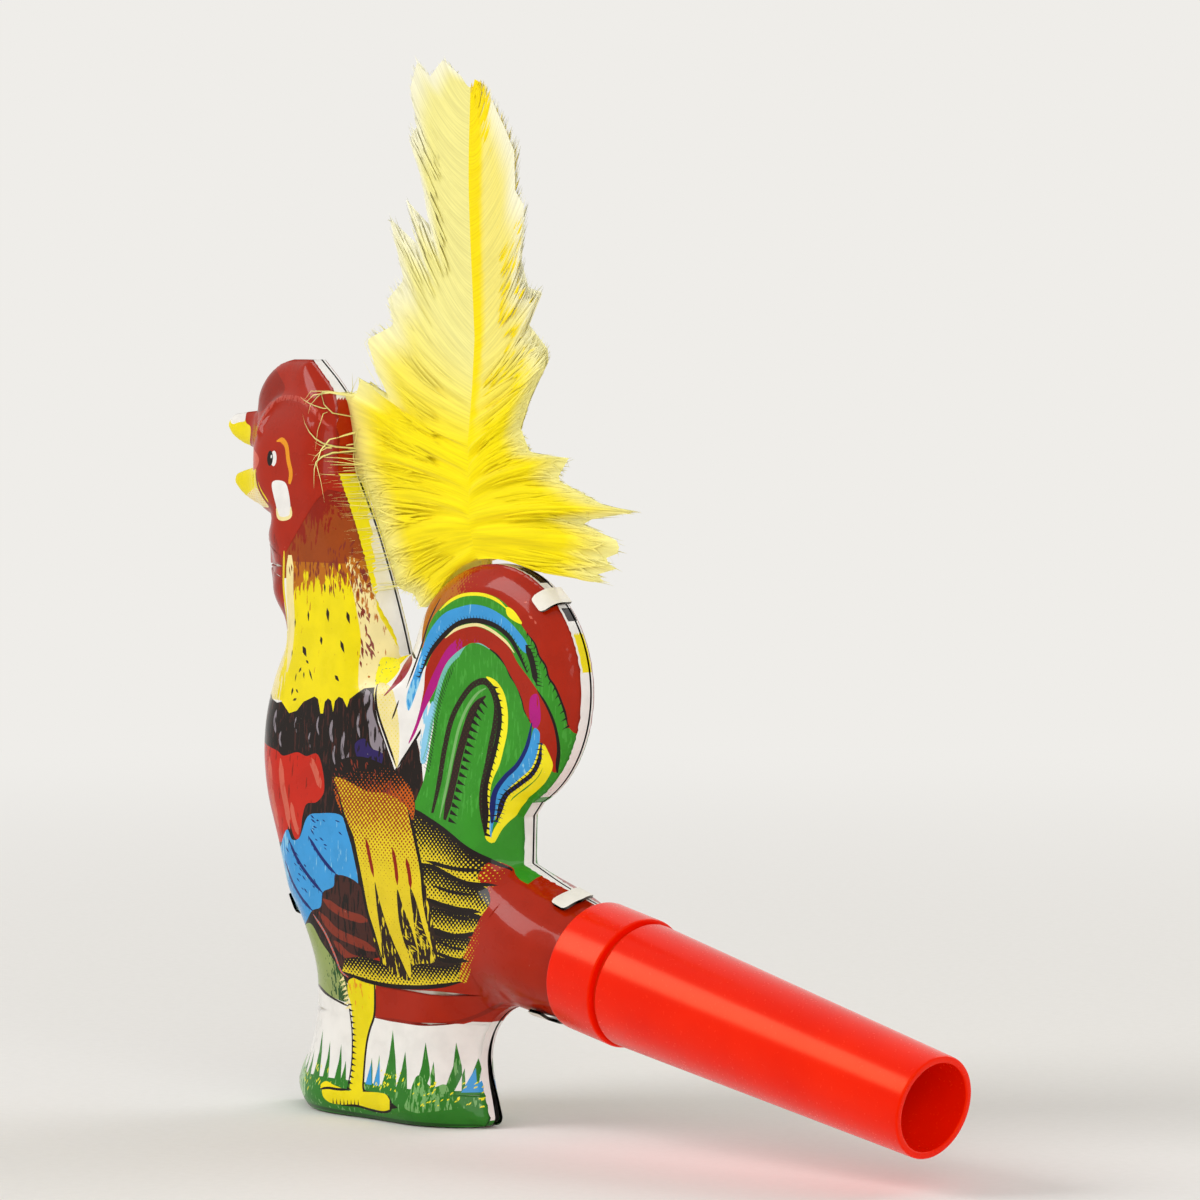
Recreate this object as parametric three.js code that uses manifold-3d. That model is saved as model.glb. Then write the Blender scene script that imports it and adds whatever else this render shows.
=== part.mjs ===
// A tin rooster horn: two pressed tin half shells tabbed together along an upright seam, a push-on
// mouthpiece with a beating reed inside, and a dyed feather wedged in the seam above the tail.
// Millimetres, +Z up. The seam is the plane Y = 0, the beak looks along -X, the mouthpiece along +X,
// and the origin lies under the middle of the whole object's box, on the surface that it stands on.
import * as THREE from 'three';
import { ConvexHull } from 'three/addons/math/ConvexHull.js';
import { mergeVertices } from 'three/addons/utils/BufferGeometryUtils.js';
import Module from 'manifold-3d';

// Sheet tin
const tinWall = 0.4;
const seamGap = 0.3;
const fitGap = 0.3;

// Spigot and mouthpiece: a straight axis that droops towards the player
const droop = THREE.MathUtils.degToRad(11.7);
const seat = new THREE.Vector2(5.2, 21.7);
const spigotRadius = 6.85;
const spigotLength = 7;
const shoulderTaper = 0.2;
const collarRadius = 8.22;
const collarLength = 7.6;
const grooveWidth = 0.7;
const grooveDepth = 0.65;
const coneRadius = 7.83;
const tipRadius = 6.29;
const coneLength = 50.5;
const mouthWall = 0.9;
const socketGap = 0.3;
const lipLength = 1.2;
const lipDepth = 0.25;

// Reed unit, inside the mouthpiece: a flanged D-section channel, a tongue over its slot and a clip
const flangeThickness = 1;
const boreRoot = 6.3;
const reedRadius = 3.3;
const reedWall = 0.7;
const reedFlat = 1.1;
const reedLength = 25;
const slotWidth = 3.2;
const slotLength = 15;
const clipOffset = 1;
const clipLength = 4.5;
const clipWall = 0.8;
const tongueWidth = 4.6;
const tongueThickness = 0.2;
const tongueLift = 0.75;

// Tabs of the right shell, bent over the left one, near these places on the outline
const tabWidth = 2.6;
const tabReach = 1.4;
const tabThickness = 0.4;
const tabRound = 0.6;
const tabPlaces = [[-0.6, 66.8], [3, 29.6], [-1, 15.6], [-48.6, 25.6]];

// Feather: the quill's line in the seam plane, and each vane's reach from it at some heights
const quillRadius = 0.75;
const quillTipRadius = 0.3;
const quillDepth = 4.5;
const quillLean = 3.2;
const featherTop = 133.9;
const downReach = 3.4;
const vaneReach = 0.45;
const downTop = 98;
const vaneFront = [
  [66.4, 10.5], [71, 16.6], [78, 19.8], [88, 21.6], [93, 19.4], [98, 17], [104, 14], [111, 10], [119, 9],
  [126, 10.4], [132, 9.6],
];
const vaneRear = [
  [72, 21.5], [77.5, 21.5], [83, 13], [88, 8.6], [96, 11.5], [103, 10.5], [113, 9], [121, 8.5], [127, 5.5],
  [131, 2.5],
];
const tuftCount = 9;
const tuftDepth = 2.4;
const tuftLean = 1.8;

// Rooster outline in the seam plane, as runs of (x, z) points that a smooth curve goes through
const footFront = -48.9;
const footRear = -12.2;
const footRound = 1.2;
const tailCentre = new THREE.Vector2(-11, 55.3);
const tailRadius = 15.5;
const tailFrontAngle = 166;
const tailRootAngle = -64;
const combTop = 96;
const notch = new THREE.Vector2(-28.6, 58.4);
const tailRoot = new THREE.Vector2(-5.7, 40);
const saddle = new THREE.Vector2(-5.9, 33.6);

const combFront = [[-57, 89.3], [-56.5, 91.6], [-54.8, 93.9], [-52.4, 95.4], [-50, combTop]];
const combRear = [[-45.6, combTop], [-42, 93], [-40.2, 91], [-39.2, 87.5], [-38.8, 81.5]];
const neckRear = [[-38.8, 81.5], [-35.2, 75], [-32.1, 68.1], [-30, 62.6], [notch.x, notch.y]];
const archRear = [[-6.5, 15.9], [-10.3, 14.7], [-12.8, 12.2], [-13.9, 9], [-13.6, 6], [-12.7, 3]];
const breast = [
  [-48.8, 4.5], [-46.6, 8.3], [-45.4, 13.1], [-45.3, 18], [-46.3, 22.6], [-48.6, 25.4], [-51.4, 33.1],
  [-53.6, 39], [-54.5, 45], [-53.9, 51], [-52, 56.5], [-49.8, 60.4],
];
const wattle = [[-49.5, 61.4], [-51.4, 63.4], [-53.2, 66.5], [-54, 70], [-52.9, 73.2], [-51, 75.4]];
const lowerBeakUnder = [[-51, 75.4], [-54.4, 76.5], [-58, 77.4], [-60.4, 78.5], [-62, 79.9]];
const lowerBeakTop = [[-62, 79.9], [-61.6, 80.9], [-59.8, 81.5], [-58, 82], [-57.1, 83]];
const upperBeakUnder = [[-57.1, 83], [-58, 84.3], [-60.2, 85], [-62.4, 86.1], [-63.4, 87.4]];
const upperBeakTop = [[-63.4, 87.4], [-62.2, 88.6], [-60, 89], [-57, 89.3]];

// Pressed depth of one half. Each station says how high the wall stands at the outline, how much
// higher the face rises behind it, over what width it rounds over, and how far the station reaches.
// Low down the skirt flares out, and its last edge curls back in. Behind the foot the halves gape.
// At its soft stations the right half has a low wall, and its face slopes gently down to it.
const stations = [
  { x: -51, z: 93.5, wall: 1.2, rise: 1.2, round: 2.5, reach: 3.5 },
  { x: -44, z: 93, wall: 2, rise: 1.6, round: 2.5, reach: 3.5, soft: true },
  { x: -60, z: 87, wall: 0.9, rise: 0.4, round: 1, reach: 3 },
  { x: -60, z: 80, wall: 0.9, rise: 0.4, round: 1, reach: 3 },
  { x: -49, z: 83.5, wall: 1.6, rise: 4, round: 4.5, reach: 4 },
  { x: -42, z: 85, wall: 3.4, rise: 2.6, round: 3, reach: 4, soft: true },
  { x: -53, z: 69, wall: 1.1, rise: 0.5, round: 1.2, reach: 2.3 },
  { x: -42, z: 73, wall: 3.6, rise: 2.8, round: 3, reach: 6, soft: true },
  { x: -35, z: 66, wall: 4.2, rise: 1.8, round: 2, reach: 4, soft: true },
  { x: -49, z: 60, wall: 0.8, rise: 5.6, round: 7, reach: 5 },
  { x: -50, z: 47, wall: 0.8, rise: 7, round: 9.5, reach: 7 },
  { x: -34, z: 50, wall: 3.4, rise: 4.4, round: 6, reach: 7, soft: true },
  { x: -48, z: 32, wall: 0.8, rise: 7.4, round: 10, reach: 6 },
  { x: -30, z: 33, wall: 2, rise: 6.8, round: 8, reach: 9 },
  { x: -44, z: 14, wall: 0.4, rise: 6, round: 10, reach: 5 },
  { x: -44, z: 2, wall: 0.4, rise: 7.4, round: 12, reach: 5 },
  { x: -20, z: 12, wall: 1.6, rise: 5.2, round: 7, reach: 6, soft: true },
  { x: -18, z: 2, wall: 2.2, rise: 5.6, round: 9, reach: 5, soft: true },
  { x: -27, z: 61, wall: 1.1, rise: 2, round: 4, reach: 2.4, soft: true },
  { x: -13, z: 58, wall: 2, rise: 2.2, round: 4, reach: 8, soft: true },
  { x: -20, z: 46, wall: 2, rise: 4, round: 5, reach: 6, soft: true },
  { x: -12, z: 35, wall: 2, rise: 5, round: 6, reach: 5, soft: true },
];
const roundPower = 2.2;
const softWall = 0.5;
const softSlope = 1;
const flareHeight = 7;
const flareDepth = 1.2;
const curlHeight = 2.4;
const curlDepth = 1.7;
const gapeHeight = 12;
const gapeDepth = 0.55;

// Spacing of the faces: beside an edge, in rings that follow it, and in the field within them
const edgeStep = 1.4;
const skinGrain = {
  rings: [{ depth: 0.75, step: 1.4 }, { depth: 2, step: 1.8 }, { depth: 3.8, step: 2.3 }], field: 2.8,
};
const hollowGrain = { rings: [{ depth: 0.75, step: 1.6 }, { depth: 2.2, step: 2.2 }], field: 3.3 };
const featherGrain = { rings: [{ depth: 1.1, step: 2.2 }], field: 4 };
const roundSides = 48;

// Larger than the whole horn, for blocks that cut right through it
const beyond = 200;

const wasm = await Module();
wasm.setup();

/** Turns a closed three.js geometry into a manifold solid. */
function toSolid(geometry) {
  const bare = geometry.clone();
  bare.deleteAttribute('normal');
  bare.deleteAttribute('uv');
  const merged = mergeVertices(bare, 1e-4);
  const mesh = new wasm.Mesh({
    numProp: 3,
    vertProperties: new Float32Array(merged.attributes.position.array),
    triVerts: new Uint32Array(merged.index.array),
  });
  return new wasm.Manifold(mesh);
}

/** Turns a manifold solid back into a three.js geometry. */
function toGeometry(solid) {
  const mesh = solid.getMesh();
  const geometry = new THREE.BufferGeometry();
  geometry.setAttribute('position', new THREE.BufferAttribute(new Float32Array(mesh.vertProperties), 3));
  geometry.setIndex(new THREE.BufferAttribute(new Uint32Array(mesh.triVerts), 1));
  geometry.computeVertexNormals();
  return geometry;
}

/** Samples a smooth curve through the points of one run, with an even step along it. */
function smoothRun(points) {
  const corners = points.map(([x, z]) => new THREE.Vector3(x, z, 0));
  const curve = new THREE.CatmullRomCurve3(corners, false, 'centripetal');
  const count = Math.max(2, Math.round(curve.getLength() / edgeStep));
  return curve.getSpacedPoints(count).map((p) => new THREE.Vector2(p.x, p.y));
}

/** Samples a straight run between two points. */
function straightRun(from, to) {
  const count = Math.max(1, Math.round(from.distanceTo(to) / edgeStep));
  return Array.from({ length: count + 1 }, (_, i) => from.clone().lerp(to, i / count));
}

/** Samples an arc, with its angles in degrees. */
function arcRun(centre, radius, fromDegrees, toDegrees) {
  const from = THREE.MathUtils.degToRad(fromDegrees);
  const sweep = THREE.MathUtils.degToRad(toDegrees) - from;
  const count = Math.max(2, Math.round((Math.abs(sweep) * radius) / edgeStep));
  return Array.from({ length: count + 1 }, (_, i) => {
    const angle = from + (sweep * i) / count;
    return new THREE.Vector2(centre.x + radius * Math.cos(angle), centre.y + radius * Math.sin(angle));
  });
}

const axisAlong = new THREE.Vector2(Math.cos(droop), -Math.sin(droop));
const axisAcross = new THREE.Vector2(Math.sin(droop), Math.cos(droop));

/** A point in the seam plane, given along and across the mouthpiece's axis from its seat. */
function onAxis(along, across) {
  return seat.clone().addScaledVector(axisAlong, along).addScaledVector(axisAcross, across);
}

/** Radius of the round shoulder that narrows to the spigot, at a place along the axis. */
function shoulderRadius(along) {
  return spigotRadius + shoulderTaper * Math.max(0, -along);
}

/**
 * The rooster's outline, anticlockwise in (x, z). A point marked open starts an edge without a wall.
 * Past the foot and the spigot's shoulder the outline can run on by a length, for a hollow that opens.
 */
function roosterOutline(past) {
  const shoulderEnd = past - fitGap;
  const mouthTop = onAxis(shoulderEnd, shoulderRadius(shoulderEnd));
  const mouthUnder = onAxis(shoulderEnd, -shoulderRadius(shoulderEnd));
  const underStart = onAxis(-6, -shoulderRadius(-6));
  const corner = past > 0 ? 0 : footRound;
  const footLeft = new THREE.Vector2(footFront + corner, -past);
  const footRight = new THREE.Vector2(footRear - corner, -past);
  const tailStart = arcRun(tailCentre, tailRadius, tailFrontAngle, tailRootAngle)[0];
  const frontCorner = arcRun(new THREE.Vector2(footFront + footRound, footRound), footRound, 180, 270);
  const rearCorner = arcRun(new THREE.Vector2(footRear - footRound, footRound), footRound, -90, 0);
  const runs = [
    { points: straightRun(footLeft, footRight), open: true },
    { points: past > 0 ? [footRight] : rearCorner },
    { points: smoothRun([[footRear, footRound], ...archRear.toReversed(), underStart.toArray()]) },
    { points: straightRun(underStart, mouthUnder) },
    { points: straightRun(mouthUnder, mouthTop), open: true },
    { points: smoothRun([mouthTop.toArray(), onAxis(-7, shoulderRadius(-7)).toArray(), saddle.toArray()]) },
    { points: straightRun(saddle, tailRoot) },
    { points: arcRun(tailCentre, tailRadius, tailRootAngle, tailFrontAngle) },
    { points: straightRun(tailStart, notch) },
    ...[neckRear, combRear].map((run) => ({ points: smoothRun(run.toReversed()) })),
    { points: straightRun(new THREE.Vector2(...combRear[0]), new THREE.Vector2(...combFront.at(-1))) },
    ...[combFront, upperBeakTop, upperBeakUnder, lowerBeakTop, lowerBeakUnder, wattle]
      .map((run) => ({ points: smoothRun(run.toReversed()) })),
    { points: smoothRun([...breast.toReversed(), [footFront, footRound]]) },
    { points: past > 0 ? [footLeft] : frontCorner },
  ];
  return joinRuns(runs);
}

/** Joins runs of points into one closed outline, and drops each point that repeats its neighbour. */
function joinRuns(runs) {
  const outline = [];
  for (const run of runs) {
    run.points.forEach((source, i) => {
      const point = source.clone();
      point.open = Boolean(run.open) && i < run.points.length - 1;
      const last = outline.at(-1);
      if (last && last.distanceTo(point) < edgeStep * 0.2) last.open = last.open || point.open;
      else outline.push(point);
    });
  }
  if (outline[0].distanceTo(outline.at(-1)) < edgeStep * 0.2) outline.pop();
  return outline;
}

/** Moves an outline inwards by a step with mitred corners, and drops the points that end up too near it. */
function insetOutline(outline, step) {
  const count = outline.length;
  return outline.map((point, i) => {
    const normalIn = inwardNormal(outline[(i + count - 1) % count], point);
    const normalOut = inwardNormal(point, outline[(i + 1) % count]);
    const mitre = step / Math.max(0.5, 1 + normalIn.dot(normalOut));
    return point.clone().addScaledVector(normalIn.add(normalOut), mitre);
  }).filter((point) => distanceToLoop(point, outline) > step * 0.93 && insideOutline(point, outline));
}

/** Unit normal to the left of an edge, which is inwards on an anticlockwise outline. */
function inwardNormal(from, to) {
  const edge = to.clone().sub(from).normalize();
  return new THREE.Vector2(-edge.y, edge.x);
}

/** Shortest distance from a point to one edge. */
function distanceToEdge(point, from, to) {
  const edge = to.clone().sub(from);
  const share = THREE.MathUtils.clamp(point.clone().sub(from).dot(edge) / edge.lengthSq(), 0, 1);
  return point.distanceTo(from.clone().addScaledVector(edge, share));
}

/** Shortest distance from a point to the walled edges of an outline. */
function distanceToWalls(point, outline) {
  let best = Infinity;
  outline.forEach((from, i) => {
    if (from.open) return;
    best = Math.min(best, distanceToEdge(point, from, outline[(i + 1) % outline.length]));
  });
  return best;
}

/** Whether a point lies inside an outline, by the even and odd crossings of a ray. */
function insideOutline(point, outline) {
  let inside = false;
  outline.forEach((a, i) => {
    const b = outline[(i + 1) % outline.length];
    if ((a.y > point.y) === (b.y > point.y)) return;
    if (point.x < ((b.x - a.x) * (point.y - a.y)) / (b.y - a.y) + a.x) inside = !inside;
  });
  return inside;
}

/** Adds a point to a list if it lies clear of every point there. */
function addIfClear(points, candidate, clearance) {
  if (points.every((point) => point.distanceTo(candidate) > clearance)) points.push(candidate);
}

/** Points that fill an outline: rings beside the edge, where the sheet rounds over, and a field. */
function fillOutline(outline, grain) {
  const points = [...outline];
  for (const ring of grain.rings) {
    const clearance = ring.step * 0.6;
    for (const candidate of insetOutline(outline, ring.depth)) addIfClear(points, candidate, clearance);
  }
  const box = new THREE.Box2().setFromPoints(outline);
  const rowStep = grain.field * Math.sin(Math.PI / 3);
  const margin = grain.rings.at(-1).depth;
  for (let z = box.min.y, row = 0; z < box.max.y; z += rowStep, row += 1) {
    for (let x = box.min.x + (row % 2) * grain.field * 0.5; x < box.max.x; x += grain.field) {
      const candidate = new THREE.Vector2(x, z);
      const within = insideOutline(candidate, outline) && distanceToLoop(candidate, outline) > margin;
      if (within) addIfClear(points, candidate, grain.field * 0.62);
    }
  }
  return points;
}

/** Shortest distance from a point to any edge of an outline. */
function distanceToLoop(point, outline) {
  let best = Infinity;
  outline.forEach((from, i) => {
    best = Math.min(best, distanceToEdge(point, from, outline[(i + 1) % outline.length]));
  });
  return best;
}

/**
 * Joins the points inside an outline into well shaped triangles. The points are lifted on to a
 * paraboloid, whose lower hull holds exactly the triangles with empty circles.
 */
function triangulate(points, outline) {
  const middle = new THREE.Box2().setFromPoints(outline).getCenter(new THREE.Vector2());
  const lifted = points.map((p) => new THREE.Vector3(p.x, p.y, p.distanceToSquared(middle) / 50));
  const indexOf = new Map(lifted.map((point, i) => [point, i]));
  const triangles = [];
  for (const face of new ConvexHull().setFromPoints(lifted).faces) {
    if (face.normal.z >= 0) continue;
    const edges = [face.edge, face.edge.next, face.edge.prev];
    const corners = edges.map((edge) => indexOf.get(edge.head().point));
    const [a, b, c] = corners.map((i) => points[i]);
    const centre = a.clone().add(b).add(c).divideScalar(3);
    const area = (b.x - a.x) * (c.y - a.y) - (b.y - a.y) * (c.x - a.x);
    if (Math.abs(area) < 1e-3 || !insideOutline(centre, outline)) continue;
    triangles.push(area > 0 ? corners : corners.toReversed());
  }
  return triangles;
}

/** Share from 0 to 1 that rises smoothly between two values. */
const rise = (value, from, to) => THREE.MathUtils.smoothstep(value, from, to);

/** A station of the right half: the same depth as the left one's, reached by a gentler slope. */
function softened(station) {
  if (!station.soft) return station;
  const full = station.rise + station.wall - softWall;
  const round = Math.max(station.round, (roundPower * full) / softSlope);
  return { ...station, wall: softWall, rise: full, round };
}

const leftStations = stations;
const rightStations = stations.map(softened);

/** Wall, rise and round-over width at a place, blended from a half's stations near it. */
function pressAt(point, half) {
  const sum = { wall: 0, rise: 0, round: 0 };
  let total = 1e-9;
  for (const station of half) {
    const distance = Math.hypot(point.x - station.x, point.y - station.z);
    const weight = Math.exp(-(distance ** 2) / (2 * station.reach ** 2));
    total += weight;
    for (const key of Object.keys(sum)) sum[key] += weight * station[key];
  }
  for (const key of Object.keys(sum)) sum[key] /= total;
  return sum;
}

/** Depth of a half's pressed sheet off the seam, measured to its skin or an inset below the skin. */
function depthAt(point, outline, inset, half) {
  const press = pressAt(point, half);
  const distance = distanceToWalls(point, outline);
  const share = THREE.MathUtils.clamp(distance / press.round, 0, 1);
  const flare = flareDepth * (Math.max(0, 1 - point.y / flareHeight) ** 1.6);
  const curl = curlDepth * (Math.max(0, 1 - point.y / curlHeight) ** 2);
  const skirt = (flare - curl) * rise(distance, 0, 6);
  const pressed = press.wall + press.rise * (1 - (1 - share) ** roundPower) + skirt - inset;
  const offset = point.clone().sub(seat);
  const along = offset.dot(axisAlong);
  const across = offset.dot(axisAcross);
  const radius = shoulderRadius(along) - inset;
  const round = Math.sqrt(Math.max(radius ** 2 - across ** 2, 0.6));
  const share2 = point.y < saddle.y + 2 ? rise(along, -16, -3) : 0;
  return Math.max(THREE.MathUtils.lerp(pressed, round, share2), 0.3);
}

/**
 * A closed solid inside an outline, between a front face and a back face. Each face gives its own
 * Y at a point, and both share one set of triangles.
 */
function sheetSolid(outline, grain, frontAt, backAt) {
  const points = fillOutline(outline, grain);
  const triangles = triangulate(points, outline);
  const count = points.length;
  const edges = outline.length;
  const vertices = new Float32Array(count * 6);
  points.forEach((point, i) => {
    vertices.set([point.x, frontAt(point), point.y], i * 3);
    vertices.set([point.x, backAt(point), point.y], (count + i) * 3);
  });
  const faces = triangles.flatMap(([a, b, c]) => [a, b, c, count + a, count + c, count + b]);
  for (let i = 0; i < edges; i += 1) {
    const j = (i + 1) % edges;
    faces.push(i, count + i, j, j, count + i, count + j);
  }
  return new wasm.Manifold(new wasm.Mesh({
    numProp: 3, vertProperties: vertices, triVerts: new Uint32Array(faces),
  }));
}

/** Places a geometry that was made along +X from the seat on to the mouthpiece's drooping axis. */
function ontoAxis(geometry) {
  geometry.rotateY(droop);
  geometry.translate(seat.x, 0, seat.y);
  return geometry;
}

/** A round rod along +X. */
function rod(radius, from, to) {
  const geometry = new THREE.CylinderGeometry(radius, radius, to - from, roundSides);
  geometry.rotateZ(-Math.PI / 2);
  geometry.translate((from + to) / 2, 0, 0);
  return geometry;
}

/** A block between two corners. */
function block(low, high) {
  const size = new THREE.Vector3(...high).sub(new THREE.Vector3(...low));
  const centre = new THREE.Vector3(...low).addScaledVector(size, 0.5);
  const geometry = new THREE.BoxGeometry(size.x, size.y, size.z);
  geometry.translate(centre.x, centre.y, centre.z);
  return toSolid(geometry);
}

/** A round rod in the seam plane between two (x, z) points. */
function seamRod(radiusFrom, radiusTo, from, to) {
  const edge = to.clone().sub(from);
  const geometry = new THREE.CylinderGeometry(radiusTo, radiusFrom, edge.length(), 12);
  geometry.rotateX(Math.PI / 2);
  geometry.rotateY(Math.atan2(edge.x, edge.y));
  const middle = from.clone().lerp(to, 0.5);
  geometry.translate(middle.x, 0, middle.y);
  return toSolid(geometry);
}

const tailTop = tailCentre.y + tailRadius;
const quillEntry = new THREE.Vector2(tailCentre.x - quillLean, tailTop - 0.3);

/** The quill's line: straight, leaning a little forward as it rises. */
function quillAt(height) {
  return new THREE.Vector2(quillEntry.x - 0.055 * (height - quillEntry.y), height);
}

/** The wedge between the halves' edges behind the foot, where they stand a little apart. */
function gapeWedge() {
  const geometry = new THREE.BoxGeometry(6, beyond, 2 * gapeHeight);
  geometry.translate(footRear - 1, beyond / 2, -gapeHeight);
  geometry.rotateX(-Math.atan(gapeDepth / gapeHeight));
  geometry.translate(0, -seamGap / 2, gapeHeight);
  return toSolid(geometry);
}

/** A half shell on the left of the seam: skin less hollow, cut off just short of the seam plane. */
function halfShell(outline, half) {
  const openStep = 1.5;
  const overlap = 8;
  const back = 1;
  const hollowOutline = insetOutline(roosterOutline(openStep), tinWall);
  const skinAt = (p) => -depthAt(p, outline, 0, half);
  const hollowAt = (p) => -depthAt(p, outline, tinWall, half);
  const skin = sheetSolid(outline, skinGrain, skinAt, () => back)
    .add(toSolid(ontoAxis(rod(spigotRadius, -overlap, spigotLength))));
  const hollow = sheetSolid(hollowOutline, hollowGrain, hollowAt, () => back + 1)
    .add(toSolid(ontoAxis(rod(spigotRadius - tinWall, -overlap - tinWall, spigotLength + openStep))));
  const hole = quillRadius + fitGap;
  const quillSlot = seamRod(hole, hole, quillAt(quillEntry.y - quillDepth - 1), quillAt(quillEntry.y + 2));
  const farSide = block([-beyond, -seamGap / 2, -beyond], [beyond, beyond, beyond]);
  return skin.subtract(hollow).subtract(quillSlot).subtract(farSide).subtract(gapeWedge());
}

/** The same solid on the other side of the seam. */
function mirrored(solid) {
  const mesh = solid.getMesh();
  const vertices = new Float32Array(mesh.vertProperties);
  for (let i = 1; i < vertices.length; i += 3) vertices[i] = -vertices[i];
  const faces = new Uint32Array(mesh.triVerts);
  for (let i = 0; i < faces.length; i += 3) [faces[i], faces[i + 1]] = [faces[i + 1], faces[i]];
  return new wasm.Manifold(new wasm.Mesh({ numProp: 3, vertProperties: vertices, triVerts: faces }));
}

/**
 * One bent tab: a strap that leaves the right shell's rim, crosses the seam outside the left
 * shell's wall and folds down over its face. Its section follows the left shell's, a gap above it.
 */
function bentTab(outline, place) {
  const target = new THREE.Vector2(...place);
  const gaps = outline.map((point) => point.distanceTo(target));
  const index = gaps.indexOf(Math.min(...gaps));
  const count = outline.length;
  const edge = outline[index];
  const normal = inwardNormal(outline[(index + count - 1) % count], outline[(index + 1) % count]);
  const section = [new THREE.Vector2(0, seamGap)];
  for (const share of [0, 0.2, 0.45, 0.7, 1]) {
    const inwards = share * tabReach;
    const point = edge.clone().addScaledVector(normal, inwards);
    section.push(new THREE.Vector2(inwards, -depthAt(point, outline, 0, leftStations)));
  }
  const under = offsetPath(section, fitGap);
  const over = offsetPath(section, fitGap + tabThickness);
  const root = new THREE.Vector2(tinWall * 0.6, seamGap);
  const shoulder = new THREE.Vector2(tinWall * 0.6, seamGap + tabThickness * 1.5);
  const rise = new THREE.Vector2(over[0].x, shoulder.y);
  const shape = new THREE.Shape([root, ...under, ...over.toReversed(), rise, shoulder]);
  const strap = new THREE.ExtrudeGeometry(shape, { depth: tabWidth, bevelEnabled: false });
  strap.translate(0, 0, -tabWidth / 2);
  const across = new THREE.Vector3(normal.x, 0, normal.y);
  const along = new THREE.Vector3(-normal.y, 0, normal.x);
  const place3 = new THREE.Matrix4().makeBasis(across, new THREE.Vector3(0, 1, 0), along);
  place3.setPosition(edge.x, 0, edge.y);
  const [solid, head] = [strap, tabHead()].map((geometry) => toSolid(geometry.applyMatrix4(place3)));
  return solid.intersect(head);
}

/** A prism with a tab's outline as seen on to the shell: a strap with a rounded head. */
function tabHead() {
  const half = tabWidth / 2 + 0.1;
  const reach = tabReach - tabRound;
  const root = -2 * tabWidth;
  const shape = new THREE.Shape([new THREE.Vector2(root, half), new THREE.Vector2(root, -half)]);
  shape.absarc(reach, tabRound - half, tabRound, -Math.PI / 2, 0);
  shape.absarc(reach, half - tabRound, tabRound, 0, Math.PI / 2);
  const settings = { depth: beyond, bevelEnabled: false, curveSegments: 4 };
  const geometry = new THREE.ExtrudeGeometry(shape, settings);
  geometry.rotateX(Math.PI / 2);
  geometry.translate(0, beyond / 2, 0);
  return geometry;
}

/** Moves a path of (inwards, y) points to its outer side by a distance. */
function offsetPath(path, distance) {
  return path.map((point, i) => {
    const before = path[Math.max(0, i - 1)];
    const after = path[Math.min(path.length - 1, i + 1)];
    const run = after.clone().sub(before).normalize();
    return new THREE.Vector2(point.x + run.y * distance, point.y - run.x * distance);
  });
}

/** A turned piece from a closed (along, radius) profile about +X. */
function turned(profile) {
  const points = [...profile, profile[0]].map(([along, radius]) => new THREE.Vector2(radius, along));
  const geometry = new THREE.LatheGeometry(points, roundSides);
  geometry.rotateZ(-Math.PI / 2);
  return geometry;
}

const flangeStart = spigotLength + fitGap;
const socketLength = flangeStart + flangeThickness + fitGap;
const reedStart = flangeStart + flangeThickness;
const reedEnd = reedStart + reedLength;
const clipStart = reedStart + clipOffset;
const clipEnd = clipStart + clipLength;
const tongueEnd = clipEnd + slotLength + 1;

/** The mouthpiece: a collar with a socket for the spigot, a groove, and a tapered tube with a lip. */
function mouthpieceGeometry() {
  const end = collarLength + coneLength;
  const socket = spigotRadius + socketGap;
  const tipBore = tipRadius - mouthWall;
  const chamfer = 0.25;
  return turned([
    [0, socket + chamfer], [0, collarRadius - chamfer], [chamfer, collarRadius],
    [collarLength - chamfer, collarRadius], [collarLength, collarRadius - chamfer],
    [collarLength, coneRadius - grooveDepth], [collarLength + grooveWidth, coneRadius - grooveDepth],
    [collarLength + grooveWidth, coneRadius], [end - lipLength, tipRadius + lipDepth * 0.2],
    [end - chamfer, tipRadius], [end, tipRadius - chamfer], [end, tipBore + chamfer],
    [end - chamfer, tipBore], [socketLength, boreRoot], [socketLength, socket], [chamfer, socket],
  ]);
}

/** The reed's channel: a closed-ended D-section tube on a flange, with a slot in its flat. */
function reedBodySolid() {
  const far = reedEnd + 1;
  const bore = reedRadius - reedWall;
  const shell = toSolid(rod(reedRadius, reedStart - 0.5, reedEnd))
    .subtract(block([0, -10, reedFlat], [far, 10, 20]));
  const hollow = toSolid(rod(bore, 0, reedEnd - reedWall))
    .subtract(block([-1, -10, reedFlat - reedWall], [far, 10, 20]));
  const flange = toSolid(rod(spigotRadius, flangeStart, reedStart));
  const slot = block([clipEnd, -slotWidth / 2, 0], [clipEnd + slotLength, slotWidth / 2, reedFlat + 1]);
  return shell.add(flange).subtract(hollow).subtract(slot);
}

/** The clip: a D-section ring that holds the tongue's root down on the channel. */
function reedClipSolid() {
  const inner = reedRadius + fitGap;
  const top = reedFlat + fitGap + tongueThickness + fitGap;
  const ring = toSolid(rod(inner + clipWall, clipStart, clipEnd))
    .subtract(block([0, -10, top + clipWall], [clipEnd + 1, 10, 20]));
  const hole = toSolid(rod(inner, clipStart - 1, clipEnd + 1))
    .subtract(block([0, -10, top], [clipEnd + 2, 10, 20]));
  return ring.subtract(hole);
}

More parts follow.
